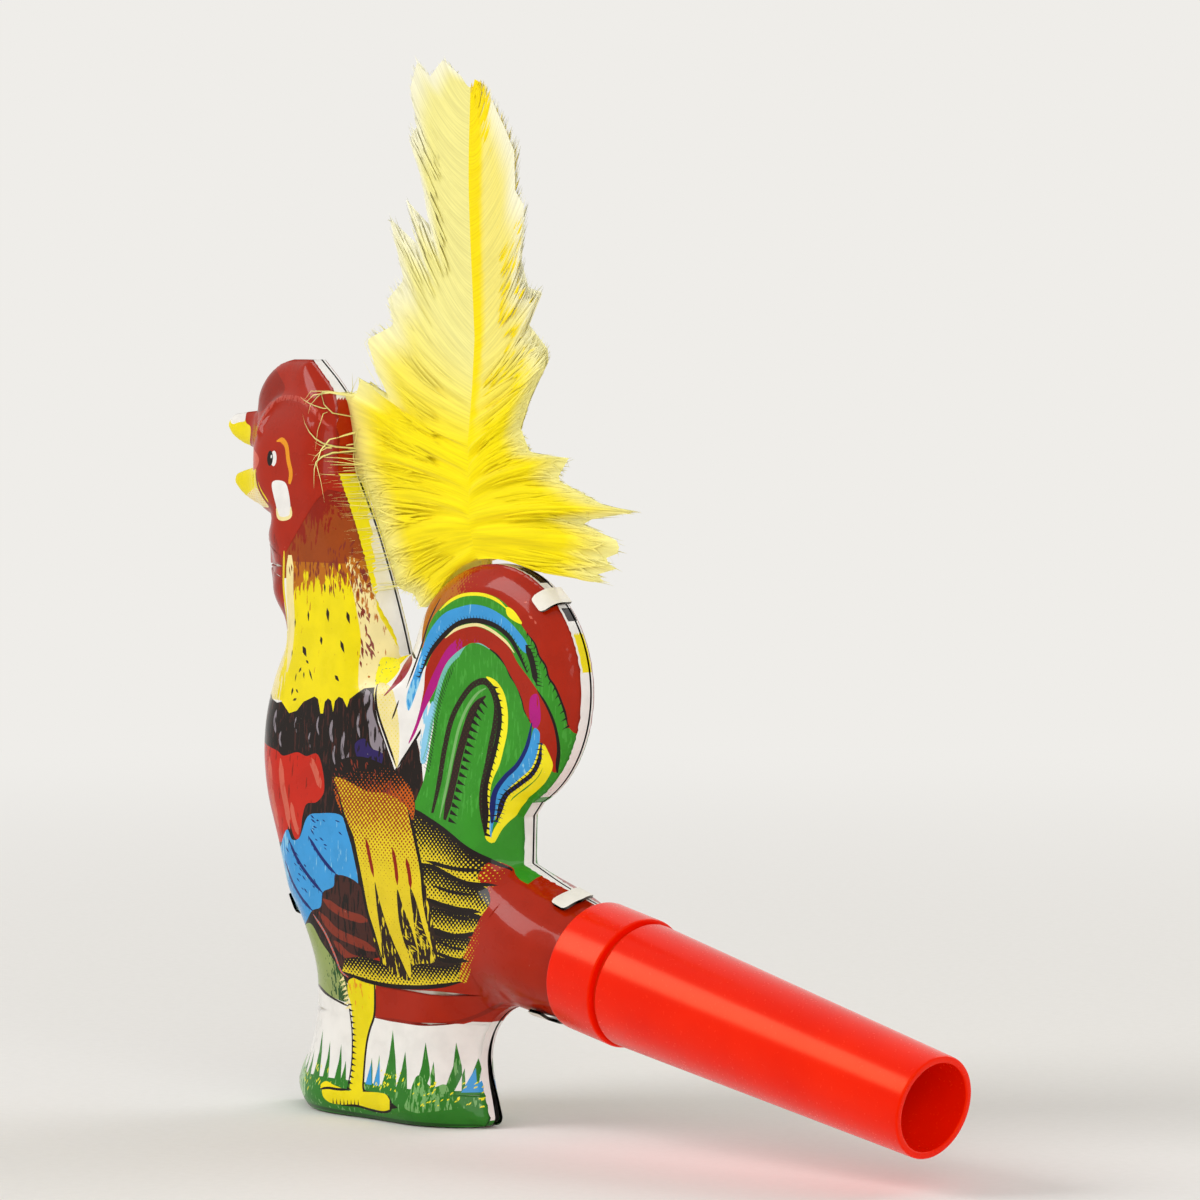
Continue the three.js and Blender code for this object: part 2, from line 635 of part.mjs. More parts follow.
/** The tongue: a thin strip, flat under the clip, that curves up and away from the slot. */
function reedTongueGeometry() {
  const steps = 10;
  const under = [new THREE.Vector2(clipStart, 0)];
  for (let i = 0; i <= steps; i += 1) {
    const share = i / steps;
    under.push(new THREE.Vector2(THREE.MathUtils.lerp(clipEnd, tongueEnd, share), tongueLift * share ** 2));
  }
  const over = under.map((p) => new THREE.Vector2(p.x, p.y + tongueThickness));
  const shape = new THREE.Shape([...under, ...over.toReversed()]);
  const geometry = new THREE.ExtrudeGeometry(shape, { depth: tongueWidth, bevelEnabled: false });
  geometry.rotateX(Math.PI / 2);
  geometry.translate(0, tongueWidth / 2, reedFlat + fitGap);
  return geometry;
}

/** One side of the feather: tufts that lean upwards along a smooth edge, from the bottom to the top. */
function featherSide(reaches, sign) {
  const curve = new THREE.SplineCurve(reaches.map(([height, reach]) => new THREE.Vector2(height, reach)));
  const points = [];
  for (let i = 0; i <= tuftCount; i += 1) {
    const root = curve.getPointAt(i / tuftCount);
    points.push(quillAt(root.x).add(new THREE.Vector2(sign * (root.y - tuftDepth / 2), 0)));
    if (i === tuftCount) break;
    const tip = curve.getPointAt((i + 0.7) / tuftCount);
    const tipReach = sign * (tip.y + tuftDepth / 2);
    points.push(quillAt(tip.x).add(new THREE.Vector2(tipReach, tuftLean)));
  }
  return points;
}

/** The feather's outline in the seam plane, kept clear of the tail that it rises from. */
function featherOutline() {
  const clear = tailRadius + 2.5 * fitGap;
  const front = featherSide(vaneFront, -1).toReversed();
  const sides = [...featherSide(vaneRear, 1), quillAt(featherTop), ...front];
  const seatArc = arcRun(tailCentre, clear, 143, 66);
  const corners = [...sides, ...seatArc].filter((p) => p.distanceTo(tailCentre) > clear - 0.01);
  const next = (i) => corners[(i + 1) % corners.length];
  return joinRuns(corners.map((corner, i) => ({ points: straightRun(corner, next(i)) })));
}

/** Half the feather's thickness: a thin vane above, full down below, thinner towards every edge. */
function featherReach(point, outline) {
  const full = THREE.MathUtils.lerp(downReach, vaneReach, rise(point.y, quillEntry.y + 8, downTop));
  const edge = THREE.MathUtils.clamp(distanceToLoop(point, outline) / (full * 1.6 + 0.2), 0, 1);
  return full * (0.12 + 0.88 * Math.sqrt(edge * (2 - edge)));
}

/** The feather: vanes and down in one soft body, on a quill that is stuck in the seam. */
function featherSolid() {
  const outline = featherOutline();
  const reach = (point) => featherReach(point, outline);
  const body = sheetSolid(outline, featherGrain, (p) => -reach(p), reach);
  const root = quillAt(quillEntry.y - quillDepth);
  return body.add(seamRod(quillRadius, quillTipRadius, root, quillAt(featherTop - 6)));
}

/** A finish for one kind of material. */
function finish(color, roughness, metalness) {
  return new THREE.MeshStandardMaterial({ color, roughness, metalness });
}

/** A named piece. */
function piece(name, geometry, material) {
  const mesh = new THREE.Mesh(geometry, material);
  mesh.name = name;
  return mesh;
}

const printedTin = finish(0xd8b21c, 0.3, 0.4);
const redPlastic = finish(0xff2405, 0.25, 0);
const whitePlastic = finish(0xf0eee6, 0.4, 0);
const brass = finish(0xc9a24a, 0.3, 1);
const dyedFeather = finish(0xffe600, 0.9, 0);

const outline = roosterOutline(0);
const leftSolid = halfShell(outline, leftStations);
const tabs = tabPlaces.map((place) => bentTab(outline, place));
const rightSolid = tabs.reduce((solid, tab) => solid.add(tab), mirrored(halfShell(outline, rightStations)));

const horn = new THREE.Group();
horn.add(piece('left_shell', toGeometry(leftSolid), printedTin));
horn.add(piece('right_shell', toGeometry(rightSolid), printedTin));
horn.add(piece('feather', toGeometry(featherSolid()), dyedFeather));

const mouth = new THREE.Group();
mouth.position.set(seat.x, 0, seat.y);
mouth.rotation.y = droop;
mouth.add(piece('mouthpiece', toGeometry(toSolid(mouthpieceGeometry())), redPlastic));
mouth.add(piece('reed_body', toGeometry(reedBodySolid()), whitePlastic));
mouth.add(piece('reed_clip', toGeometry(reedClipSolid()), whitePlastic));
mouth.add(piece('reed_tongue', toGeometry(toSolid(reedTongueGeometry())), brass));
horn.add(mouth);

export default horn;
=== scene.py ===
"""Dresses a tin rooster horn: lacquered printed tin, a glossy mouthpiece and a dyed feather.

Sizes are in millimetres in the frame of the CAD part, and turn into metres when a mesh is made.
The seam between the tin halves is the plane Y = 0, the beak looks along -X and up is +Z.
"""

import logging
import math
from dataclasses import dataclass, field
from enum import Enum
from typing import Callable, Optional, Sequence, Union

import bpy
import numpy as np
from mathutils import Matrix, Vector
from mathutils.geometry import delaunay_2d_cdt


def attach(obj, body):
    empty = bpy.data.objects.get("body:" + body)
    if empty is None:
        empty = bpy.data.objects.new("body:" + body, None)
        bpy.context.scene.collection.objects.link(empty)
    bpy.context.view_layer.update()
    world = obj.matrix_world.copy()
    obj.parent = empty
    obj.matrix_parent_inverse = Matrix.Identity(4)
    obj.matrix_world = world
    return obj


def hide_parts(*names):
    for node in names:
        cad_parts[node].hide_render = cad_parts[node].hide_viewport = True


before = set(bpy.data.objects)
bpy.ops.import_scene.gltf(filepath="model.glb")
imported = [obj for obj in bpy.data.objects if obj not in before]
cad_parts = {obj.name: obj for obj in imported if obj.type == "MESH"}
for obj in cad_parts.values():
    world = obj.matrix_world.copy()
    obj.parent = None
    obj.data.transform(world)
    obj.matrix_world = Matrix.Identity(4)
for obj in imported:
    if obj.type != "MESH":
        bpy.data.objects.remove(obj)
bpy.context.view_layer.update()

Array = np.ndarray
Points = Sequence[tuple[float, float]]
Field = Union[float, Callable[[Array], Array]]

log = logging.getLogger("horn")
MM = 0.001
SEED = 7
TINY = 1e-9
# Samples on each span of a smooth curve, and points whose distances are worked out at once
SPAN_SAMPLES = 16
BATCH = 4000
# Height of an even-sided triangle as a share of its side
TRIANGLE_HEIGHT = 0.866
# Material slots of a tin half
PRINTED, BARE = 0, 1


def linear(code: str) -> tuple[float, float, float, float]:
    """Linear colour with alpha 1 for an sRGB hex code such as "#A82400"."""
    values = [int(code[i : i + 2], 16) / 255 for i in (1, 3, 5)]
    out = [v / 12.92 if v <= 0.04045 else ((v + 0.055) / 1.055) ** 2.4 for v in values]
    return (out[0], out[1], out[2], 1.0)


def ramp(value: Array, low: float, high: float) -> Array:
    """Share from 0 to 1 that rises smoothly from the first value to the second."""
    share = np.clip((value - low) / (high - low), 0, 1)
    return share * share * (3 - 2 * share)


def unit(vectors: Array) -> Array:
    """Vectors along the last axis, scaled to length 1."""
    return vectors / np.maximum(np.linalg.norm(vectors, axis=-1, keepdims=True), TINY)


def resample(path: Array, step: float) -> Array:
    """Points at an even step along a path, with both ends kept."""
    lengths = np.linalg.norm(np.diff(path, axis=0), axis=1)
    along = np.concatenate([[0.0], np.cumsum(lengths)])
    at = np.linspace(0, along[-1], max(2, int(round(along[-1] / step)) + 1))
    return np.stack([np.interp(at, along, path[:, k]) for k in range(path.shape[1])], -1)


def smooth(points: Sequence[Sequence[float]], step: float, closed: bool = False) -> Array:
    """Samples a smooth curve through points.

    The curve is a centripetal Catmull-Rom spline: each span's end slopes come from the three
    points round it, weighted by the square roots of the distances between them.

    Args:
        points: Points that the curve goes through.
        step: Distance between the samples, in millimetres.
        closed: Whether the curve comes back to its first point.

    Returns:
        One row per sample. A closed curve doesn't repeat its first sample.
    """
    p = np.asarray(points, float)
    if closed:
        q = np.vstack([p[-1:], p, p[:2]])
    else:
        q = np.vstack([2 * p[0] - p[1], p, 2 * p[-1] - p[-2]])
    gaps = np.sqrt(np.maximum(np.linalg.norm(np.diff(q, axis=0), axis=1), TINY))[:, None]
    a, b, c = gaps[:-2], gaps[1:-1], gaps[2:]
    q0, q1, q2, q3 = q[:-3], q[1:-2], q[2:-1], q[3:]
    m1 = ((q1 - q0) / a - (q2 - q0) / (a + b) + (q2 - q1) / b) * b
    m2 = ((q2 - q1) / b - (q3 - q1) / (b + c) + (q3 - q2) / c) * b
    t = np.linspace(0, 1, SPAN_SAMPLES, endpoint=False)[None, :, None]
    spans = q1[:, None] * (2 * t**3 - 3 * t**2 + 1) + m1[:, None] * (t**3 - 2 * t**2 + t)
    spans = spans + q2[:, None] * (3 * t**2 - 2 * t**3) + m2[:, None] * (t**3 - t**2)
    even = resample(np.vstack([spans.reshape(-1, p.shape[1]), q[-2:-1]]), step)
    return even[:-1] if closed else even


def arc(centre: Sequence[float], radius: float, start: float, end: float, step: float) -> Array:
    """Points on an arc in (x, z), from one angle to another in degrees."""
    sweep = math.radians(end - start)
    count = max(3, int(round(abs(sweep) * radius / step)) + 1)
    angle = math.radians(start) + np.linspace(0, sweep, count)
    return np.stack([centre[0] + radius * np.cos(angle), centre[1] + radius * np.sin(angle)], -1)


def inside(points: Array, loop: Array) -> Array:
    """Whether each point lies in a closed loop, by the odd count of edges that a ray crosses."""
    result = np.zeros(len(points), bool)
    near = np.flatnonzero(((points >= loop.min(0)) & (points <= loop.max(0))).all(1))
    if not len(near):
        return result
    x, z = points[near, 0], points[near, 1]
    odd = np.zeros(len(near), bool)
    for (x0, z0), (x1, z1) in zip(loop, np.roll(loop, -1, axis=0)):
        if z0 != z1:
            odd ^= ((z0 > z) != (z1 > z)) & (x < (x1 - x0) * (z - z0) / (z1 - z0) + x0)
    result[near] = odd
    return result


def edge_distance(points: Array, starts: Array, ends: Array) -> Array:
    """Shortest distance from each point to a set of straight edges."""
    best = np.full(len(points), np.inf)
    edge = ends - starts
    length2 = np.maximum((edge**2).sum(1), TINY)
    for i in range(0, len(points), BATCH):
        offset = points[i : i + BATCH, None] - starts[None]
        share = np.clip((offset * edge).sum(-1) / length2, 0, 1)
        gap = offset - share[..., None] * edge
        best[i : i + BATCH] = np.sqrt((gap**2).sum(-1).min(1))
    return best


def side_normals(path: Array) -> Array:
    """Unit normal to the left of an open path in the plane, at each of its points."""
    run = unit(np.gradient(path, axis=0))
    return np.stack([-run[:, 1], run[:, 0]], -1)


def blurred(grid: Array, radius: float) -> Array:
    """A grid smoothed by a bell-shaped weight, with its radius in cells."""
    reach = int(math.ceil(radius * 3))
    weights = np.exp(-(np.arange(-reach, reach + 1) ** 2) / (2 * radius**2))
    weights /= weights.sum()
    for axis in (0, 1):
        padded = np.pad(grid, [(reach, reach) if k == axis else (0, 0) for k in (0, 1)], mode="edge")
        cells = np.arange(grid.shape[axis])
        grid = sum(np.take(padded, cells + i, axis=axis) * w for i, w in enumerate(weights))
    return grid


class Nodes:
    """The node tree of a material or a world, built with one call per node."""

    def __init__(self, name: str, kind: str = "materials") -> None:
        """Starts an empty tree in a new material, or in a new world."""
        self.owner = getattr(bpy.data, kind).new(name)
        self.owner.use_nodes = True
        self.tree = self.owner.node_tree
        self.tree.nodes.clear()

    def add(self, kind: str, inputs: Optional[dict] = None, **settings) -> bpy.types.bpy_prop_collection:
        """Adds a node with its settings and links.

        Args:
            kind: The node's type without its prefix.
            inputs: Input name or number to the socket that feeds it, or to its fixed value.
            **settings: Properties of the node itself.

        Returns:
            The node's outputs.
        """
        node = self.tree.nodes.new("ShaderNode" + kind)
        for key, value in settings.items():
            setattr(node, key, value)
        for key, value in (inputs or {}).items():
            if isinstance(value, bpy.types.NodeSocket):
                self.tree.links.new(value, node.inputs[key])
            else:
                node.inputs[key].default_value = value
        return node.outputs

    def seen(self) -> bpy.types.NodeSocket:
        """1 for rays that are seen, straight or in gloss or glass, and 0 for those that light."""
        path = self.add("LightPath")
        clear = {0: path["Is Glossy Ray"], 1: path["Is Transmission Ray"]}
        clear = self.add("Math", clear, operation="MAXIMUM")[0]
        return self.add("Math", {0: path["Is Camera Ray"], 1: clear}, operation="MAXIMUM")[0]

    def finish(self, **inputs) -> bpy.types.Material:
        """Adds the shader, with its inputs named with underscores for spaces, and the output."""
        named = {key.replace("_", " "): value for key, value in inputs.items()}
        shader = self.add("BsdfPrincipled", named)[0]
        self.add("OutputMaterial", {"Surface": shader})
        return self.owner


SMOOTH = {"interpolation_type": "SMOOTHSTEP"}
COLOUR = {"data_type": "RGBA"}


@dataclass(frozen=True)
class LithoTin:
    """Lithographed tinplate: printed inks under baked clear lacquer.

    It gives the eye flat strong colours, fine dots and strokes where they blend, and soft
    highlights that waver with the pressed sheet. The dots are drawn at a pitch of 0.45 mm, a
    little coarser than a real screen, so that they show.
    """

    dot_pitch: float = 0.45

    def make(self) -> bpy.types.Material:
        """Builds the material, which reads the mesh's ink attributes."""
        nodes = Nodes("lithographed_tinplate")
        add = nodes.add
        ink, over, amount = (
            add("Attribute", attribute_name=name)["Color"] for name in ("ink", "over", "amount")
        )
        parts = add("SeparateColor", {0: amount})
        here = add("TexCoord")["Object"]
        # A screen of dots in rows at 45 degrees, which grow with the cover until they join
        wave = 2 * math.pi / (self.dot_pitch * MM)
        turn = {"Scale": (wave,) * 3, "Rotation": (0, math.radians(45), 0)}
        rows = add("SeparateXYZ", {0: add("Mapping", {"Vector": here, **turn})[0]})
        first = add("Math", {0: rows[0]}, operation="SINE")[0]
        second = add("Math", {0: rows[2]}, operation="SINE")[0]
        dots = add("Math", {0: first, 1: 0.25, 2: 0.5}, operation="MULTIPLY_ADD")[0]
        dots = add("Math", {0: second, 1: 0.25, 2: dots}, operation="MULTIPLY_ADD")[0]
        uneven = add("TexNoise", {"Vector": here, "Scale": 2200.0, "Detail": 2.0})[0]
        dots = add("Math", {0: uneven, 1: 0.5, 2: dots}, operation="MULTIPLY_ADD")[0]
        dots = add("Math", {0: dots, 1: 0.25}, operation="SUBTRACT")[0]
        # Brush strokes about 0.4 mm wide: noise drawn out upright, as in hand-drawn plumage
        upright = add("Mapping", {"Vector": here, "Scale": (2600.0, 2600.0, 450.0)})[0]
        brush = add("TexNoise", {"Vector": upright, "Scale": 1.0, "Detail": 4.0})[0]
        brush = add("Math", {0: brush, 1: 2.4, 2: -0.7}, operation="MULTIPLY_ADD")[0]
        chosen = add("Mix", {0: parts[1], 2: dots, 3: brush}, data_type="FLOAT")[0]
        edge = add("Math", {0: parts[0], 1: chosen}, operation="SUBTRACT")[0]
        mask = add("MapRange", {0: edge, 1: -0.06, 2: 0.06}, **SMOOTH)[0]
        printed = add("Math", {0: parts[0], 1: 0.01}, operation="GREATER_THAN")[0]
        mask = add("Math", {0: mask, 1: printed}, operation="MULTIPLY")[0]
        colour = add("Mix", {0: mask, 6: ink, 7: over}, **COLOUR)[2]
        # Ink laid a little unevenly over patches of 3 mm, with sparse pale rubs where it has worn
        cloud = add("TexNoise", {"Vector": here, "Scale": 330.0, "Detail": 4.0})[0]
        shade = add("MapRange", {0: cloud, 1: 0.3, 2: 0.7, 3: 0.93, 4: 1.03}, **SMOOTH)[0]
        grey = add("CombineColor", {0: shade, 1: shade, 2: shade})[0]
        colour = add("Mix", {0: 1.0, 6: colour, 7: grey}, blend_type="MULTIPLY", **COLOUR)[2]
        worn = add("TexNoise", {"Vector": here, "Scale": 1700.0, "Detail": 2.0})[0]
        worn = add("MapRange", {0: worn, 1: 0.76, 2: 0.82, 4: 0.3}, **SMOOTH)[0]
        colour = add("Mix", {0: worn, 6: colour, 7: linear("#E9DFC8")}, **COLOUR)[2]
        rough = add("MapRange", {0: cloud, 1: 0.3, 2: 0.7, 3: 0.24, 4: 0.36}, **SMOOTH)[0]
        # Faint waves of the pressed sheet, 10 mm long, and the orange peel of the lacquer
        sheet = add("TexNoise", {"Vector": here, "Scale": 95.0, "Detail": 2.0})[0]
        normal = add("Bump", {"Height": sheet, "Strength": 0.25, "Distance": 0.5 * MM})[0]
        peel = add("TexNoise", {"Vector": here, "Scale": 1400.0, "Detail": 2.0})[0]
        fine = {"Height": peel, "Strength": 0.2, "Distance": 0.02 * MM, "Normal": normal}
        normal = add("Bump", fine)[0]
        return nodes.finish(
            Base_Color=colour, Roughness=rough, Normal=normal, IOR=1.5, Specular_IOR_Level=0.05,
            Coat_Weight=0.32, Coat_Roughness=0.06, Coat_IOR=1.5,
        )


@dataclass(frozen=True)
class BareTin:
    """Unprinted tinplate inside the shells: rolled metal, bright with faint lines and dull spots."""

    def make(self) -> bpy.types.Material:
        """Builds the material."""
        nodes = Nodes("bare_rolled_tinplate")
        add = nodes.add
        here = add("TexCoord")["Object"]
        rolled = add("Mapping", {"Vector": here, "Scale": (120.0, 2000.0, 2000.0)})[0]
        lines = add("TexNoise", {"Vector": rolled, "Scale": 1.0, "Detail": 4.0})[0]
        spots = add("TexNoise", {"Vector": here, "Scale": 500.0, "Detail": 4.0})[0]
        spots = add("MapRange", {0: spots, 1: 0.45, 2: 0.75}, **SMOOTH)[0]
        colour = add("Mix", {0: spots, 6: linear("#CFCBC2"), 7: linear("#A79C86")}, **COLOUR)[2]
        rough = add("Math", {0: lines, 1: 0.25, 2: 0.22}, operation="MULTIPLY_ADD")[0]
        normal = add("Bump", {"Height": lines, "Strength": 0.4, "Distance": 0.02 * MM})[0]
        return nodes.finish(Base_Color=colour, Roughness=rough, Normal=normal, Metallic=1.0)


@dataclass(frozen=True)
class MouldedPlastic:
    """Injection-moulded polystyrene: an even strong colour whose soft highlights keep its tint.

    It gives the eye a satin gloss with slight ripples of shrinkage, and a glow in thin walls.
    """

    name: str
    colour: str
    shade: str
    highlight: str
    rough: float = 0.3
    glow: float = 0.0

    def make(self) -> bpy.types.Material:
        """Builds the material."""
        nodes = Nodes(self.name)
        add = nodes.add
        here = add("TexCoord")["Object"]
        cloud = add("TexNoise", {"Vector": here, "Scale": 60.0, "Detail": 3.0})[0]
        cloud = add("MapRange", {0: cloud, 1: 0.3, 2: 0.7}, **SMOOTH)[0]
        colour = add("Mix", {0: cloud, 6: linear(self.shade), 7: linear(self.colour)}, **COLOUR)[2]
        dust = add("TexNoise", {"Vector": here, "Scale": 2400.0, "Detail": 2.0})[0]
        rough = add("MapRange", {0: dust, 1: 0.6, 2: 0.8, 3: self.rough, 4: self.rough + 0.15})[0]
        ripple = add("TexNoise", {"Vector": here, "Scale": 110.0, "Detail": 2.0})[0]
        normal = add("Bump", {"Height": ripple, "Strength": 0.25, "Distance": 0.15 * MM})[0]
        fine = {"Height": dust, "Strength": 0.12, "Distance": 0.01 * MM, "Normal": normal}
        normal = add("Bump", fine)[0]
        return nodes.finish(
            Base_Color=colour, Roughness=rough, Normal=normal, IOR=1.55,
            Specular_IOR_Level=0.4, Specular_Tint=linear(self.highlight), Subsurface_Weight=self.glow,
            Subsurface_Radius=(1.0, 0.25, 0.1), Subsurface_Scale=2.0 * MM,
        )


@dataclass(frozen=True)
class RolledBrass:
    """The rolled brass of the reed's tongue: warm metal with fine lengthwise scratches."""

    def make(self) -> bpy.types.Material:
        """Builds the material."""
        nodes = Nodes("rolled_brass")
        add = nodes.add
        along = add("Mapping", {"Vector": add("TexCoord")["Object"], "Scale": (300.0, 3000.0, 3000.0)})[0]
        lines = add("TexNoise", {"Vector": along, "Scale": 1.0, "Detail": 4.0})[0]
        colour = add("Mix", {0: lines, 6: linear("#B8923F"), 7: linear("#D9B765")}, **COLOUR)[2]
        rough = add("Math", {0: lines, 1: 0.25, 2: 0.18}, operation="MULTIPLY_ADD")[0]
        normal = add("Bump", {"Height": lines, "Strength": 0.4, "Distance": 0.01 * MM})[0]
        return nodes.finish(Base_Color=colour, Roughness=rough, Normal=normal, Metallic=1.0)


@dataclass(frozen=True)
class DyedBarbs:
    """Dyed goose feather: matt, soft barbs that keep their own tint, with a pale bloom at grazing.

    It gives the eye fine streaks along the barbs, 0.25 mm apart, over a tint that whitens towards the barbs'
    ends, partly as a painted highlight.
    """

    def make(self) -> bpy.types.Material:
        """Builds the material, which reads each barb's tint and the place along it."""
        nodes = Nodes("dyed_goose_feather")
        add = nodes.add
        tint = add("Attribute", attribute_name="tint")["Color"]
        barb = add("Attribute", attribute_name="barb")["Vector"]
        fibre = add("Mapping", {"Vector": barb, "Scale": (4.0, 0.12, 1.0)})[0]
        streak = add("TexNoise", {"Vector": fibre, "Scale": 1.0, "Detail": 3.0})[0]
        shade = add("MapRange", {0: streak, 1: 0.3, 2: 0.7, 3: 0.88, 4: 1.04}, **SMOOTH)[0]
        grey = add("CombineColor", {0: shade, 1: shade, 2: shade})[0]
        colour = add("Mix", {0: 1.0, 6: tint, 7: grey}, blend_type="MULTIPLY", **COLOUR)[2]
        normal = add("Bump", {"Height": streak, "Strength": 0.35, "Distance": 0.05 * MM})[0]
        return nodes.finish(
            Base_Color=colour, Roughness=0.7, Normal=normal, IOR=1.4, Specular_IOR_Level=0.2,
            Sheen_Weight=0.3, Sheen_Roughness=0.4, Sheen_Tint=linear("#FFF8C0"),
        )


@dataclass(frozen=True)
class DyedQuill:
    """The feather's dyed quill: smooth horn with streaks along it."""

    def make(self) -> bpy.types.Material:
        """Builds the material."""
        nodes = Nodes("dyed_quill_horn")
        add = nodes.add
        along = add("Mapping", {"Vector": add("TexCoord")["Object"], "Scale": (1500.0, 1500.0, 200.0)})[0]
        streak = add("TexNoise", {"Vector": along, "Scale": 1.0, "Detail": 3.0})[0]
        colour = add("Mix", {0: streak, 6: linear("#E6BE00"), 7: linear("#F6E24A")}, **COLOUR)[2]
        normal = add("Bump", {"Height": streak, "Strength": 0.3, "Distance": 0.02 * MM})[0]
        return nodes.finish(Base_Color=colour, Normal=normal, Roughness=0.4, IOR=1.54)


@dataclass(frozen=True)
class PalePaper:
    """The studio's matt paper floor, which fades into the pale surround away from the object."""

    colour: str = "#EFEDE9"
    near: float = 0.14
    far: float = 0.62

    def make(self) -> bpy.types.Material:
        """Builds the material: lit paper that keeps shadows, and the surround's colour far off."""
        nodes = Nodes("studio_paper")
        add = nodes.add
        here = add("TexCoord")["Object"]
        tooth = add("TexNoise", {"Vector": here, "Scale": 900.0, "Detail": 4.0})[0]
        colour = add("Mix", {0: tooth, 6: linear("#EAE8E4"), 7: linear("#F1EFEC")}, **COLOUR)[2]
        paper = add("BsdfPrincipled", {"Base Color": colour, "Roughness": 0.9})[0]
        glow = add("Emission", {"Color": linear(self.colour), "Strength": 1.0})[0]
        reach = add("VectorMath", {0: here}, operation="LENGTH")["Value"]
        reach = add("MapRange", {0: reach, 1: self.near, 2: self.far}, **SMOOTH)[0]
        share = add("Math", {0: reach, 1: nodes.seen()}, operation="MULTIPLY")[0]
        mixed = add("MixShader", {0: share, 1: paper, 2: glow})[0]
        add("OutputMaterial", {"Surface": mixed})
        return nodes.owner


class Ink(Enum):
    """The inks of the print, as sRGB hex codes."""

    WHITE = "#F0EDE8"
    CREAM = "#F4E4A0"
    BRICK = "#A82000"
    COMB = "#8E1A00"
    # A painted highlight: the light that the pressed brow catches
    BROW_HIGHLIGHT_RED = "#C04A3C"
    YELLOW = "#F0DC00"
    LEMON = "#F8EC1E"
    GOLD = "#E6CC20"
    ORANGE = "#B8690A"
    AMBER = "#ED9917"
    BLACK = "#1A100C"
    BROWN_BLACK = "#2A1A12"
    BLUE = "#3C9ADA"
    PALE_BLUE = "#8CCBEA"
    NAVY = "#10206A"
    GREEN = "#359022"
    LIGHT_GREEN = "#45A034"
    TEAL = "#74BEB0"
    MAGENTA = "#B0107C"
    MAROON = "#42201A"
    RUST = "#83301E"
    OLIVE = "#94A45C"
    GRASS = "#2E7A22"
    MEADOW = "#79B066"
    # A painted reflection: the gloss on the grass at the front of the skirt
    PAINTED_GLOSS_GREEN = "#9CC48C"
    FLAME = "#C65A08"
    ROSE = "#9C3040"
    SALMON = "#D2604C"
    PURPLE = "#2C1E5A"
    GREY = "#8E848C"
    RUSSET = "#9A4208"
    RED = "#C4220C"
    DARK_GREEN = "#22501A"


@dataclass
class MeshMaker:
    """Gathers the faces of one piece, with an ink and a material for each, and makes the mesh."""

    name: str
    points: list = field(default_factory=list)
    faces: list = field(default_factory=list)
    normals: list = field(default_factory=list)
    slots: list = field(default_factory=list)
    colours: list = field(default_factory=list)
    total: int = 0

    def add(
        self, points: Array, faces: Array, normals: Array, slot: int = 0, colours: Optional[dict] = None
    ) -> None:
        """Adds a patch of triangles.

        Args:
            points: Corners in millimetres.
            faces: Rows of three indexes into the points.
            normals: The smooth surface's normal at each point.
            slot: Material slot of the patch.
            colours: Attribute name to one row of colour per face, or per face and corner.
        """
        self.points.append(points)
        self.faces.append(np.asarray(faces) + self.total)
        self.normals.append(normals)
        self.slots.append(np.full(len(faces), slot))
        self.colours.append(colours or {})
        self.total += len(points)

    def make(self, materials: Sequence[bpy.types.Material], mirrored: bool = False) -> bpy.types.Object:
        """Makes the object in metres. A mirrored one is its twin on the seam's other side."""
        points = np.vstack(self.points) * MM
        faces = np.vstack(self.faces)
        normals = np.vstack(self.normals)
        if mirrored:
            points = points * (1, -1, 1)
            normals = normals * (1, -1, 1)
            faces = faces[:, ::-1]
        mesh = bpy.data.meshes.new(self.name)
        mesh.from_pydata(points.tolist(), [], faces.tolist())
        mesh.polygons.foreach_set("material_index", np.concatenate(self.slots).astype(np.int32))
        mesh.polygons.foreach_set("use_smooth", np.ones(len(faces), bool))
        for name in sorted({key for group in self.colours for key in group}):
            rows = []
            for group, patch in zip(self.colours, self.faces):
                values = np.asarray(group.get(name, np.zeros(4)), float)
                if values.ndim < 3:
                    values = np.broadcast_to(values.reshape(-1, 1, 4), (len(patch), 3, 4))
                rows.append(values)
            stacked = np.concatenate(rows)
            stacked = stacked[:, ::-1] if mirrored else stacked
            attribute = mesh.color_attributes.new(name, "FLOAT_COLOR", "CORNER")
            attribute.data.foreach_set("color", np.ascontiguousarray(stacked, np.float32).ravel())
        for material in materials:
            mesh.materials.append(material)
        mesh.validate(clean_customdata=False)
        mesh.update()
        mesh.normals_split_custom_set_from_vertices(unit(normals).tolist())
        made = bpy.data.objects.new(self.name, mesh)
        bpy.context.scene.collection.objects.link(made)
        return made


def grid_faces(rows: int, columns: int, closed: bool = False) -> Array:
    """Triangles between the points of a grid of rows and columns, round again if closed."""
    i, j = np.meshgrid(np.arange(rows - 1), np.arange(columns if closed else columns - 1), indexing="ij")
    a = i * columns + j
    b = i * columns + (j + 1) % columns
    c, d = a + columns, b + columns
    return np.stack([np.stack([a, b, d], -1), np.stack([a, d, c], -1)], 2).reshape(-1, 3)


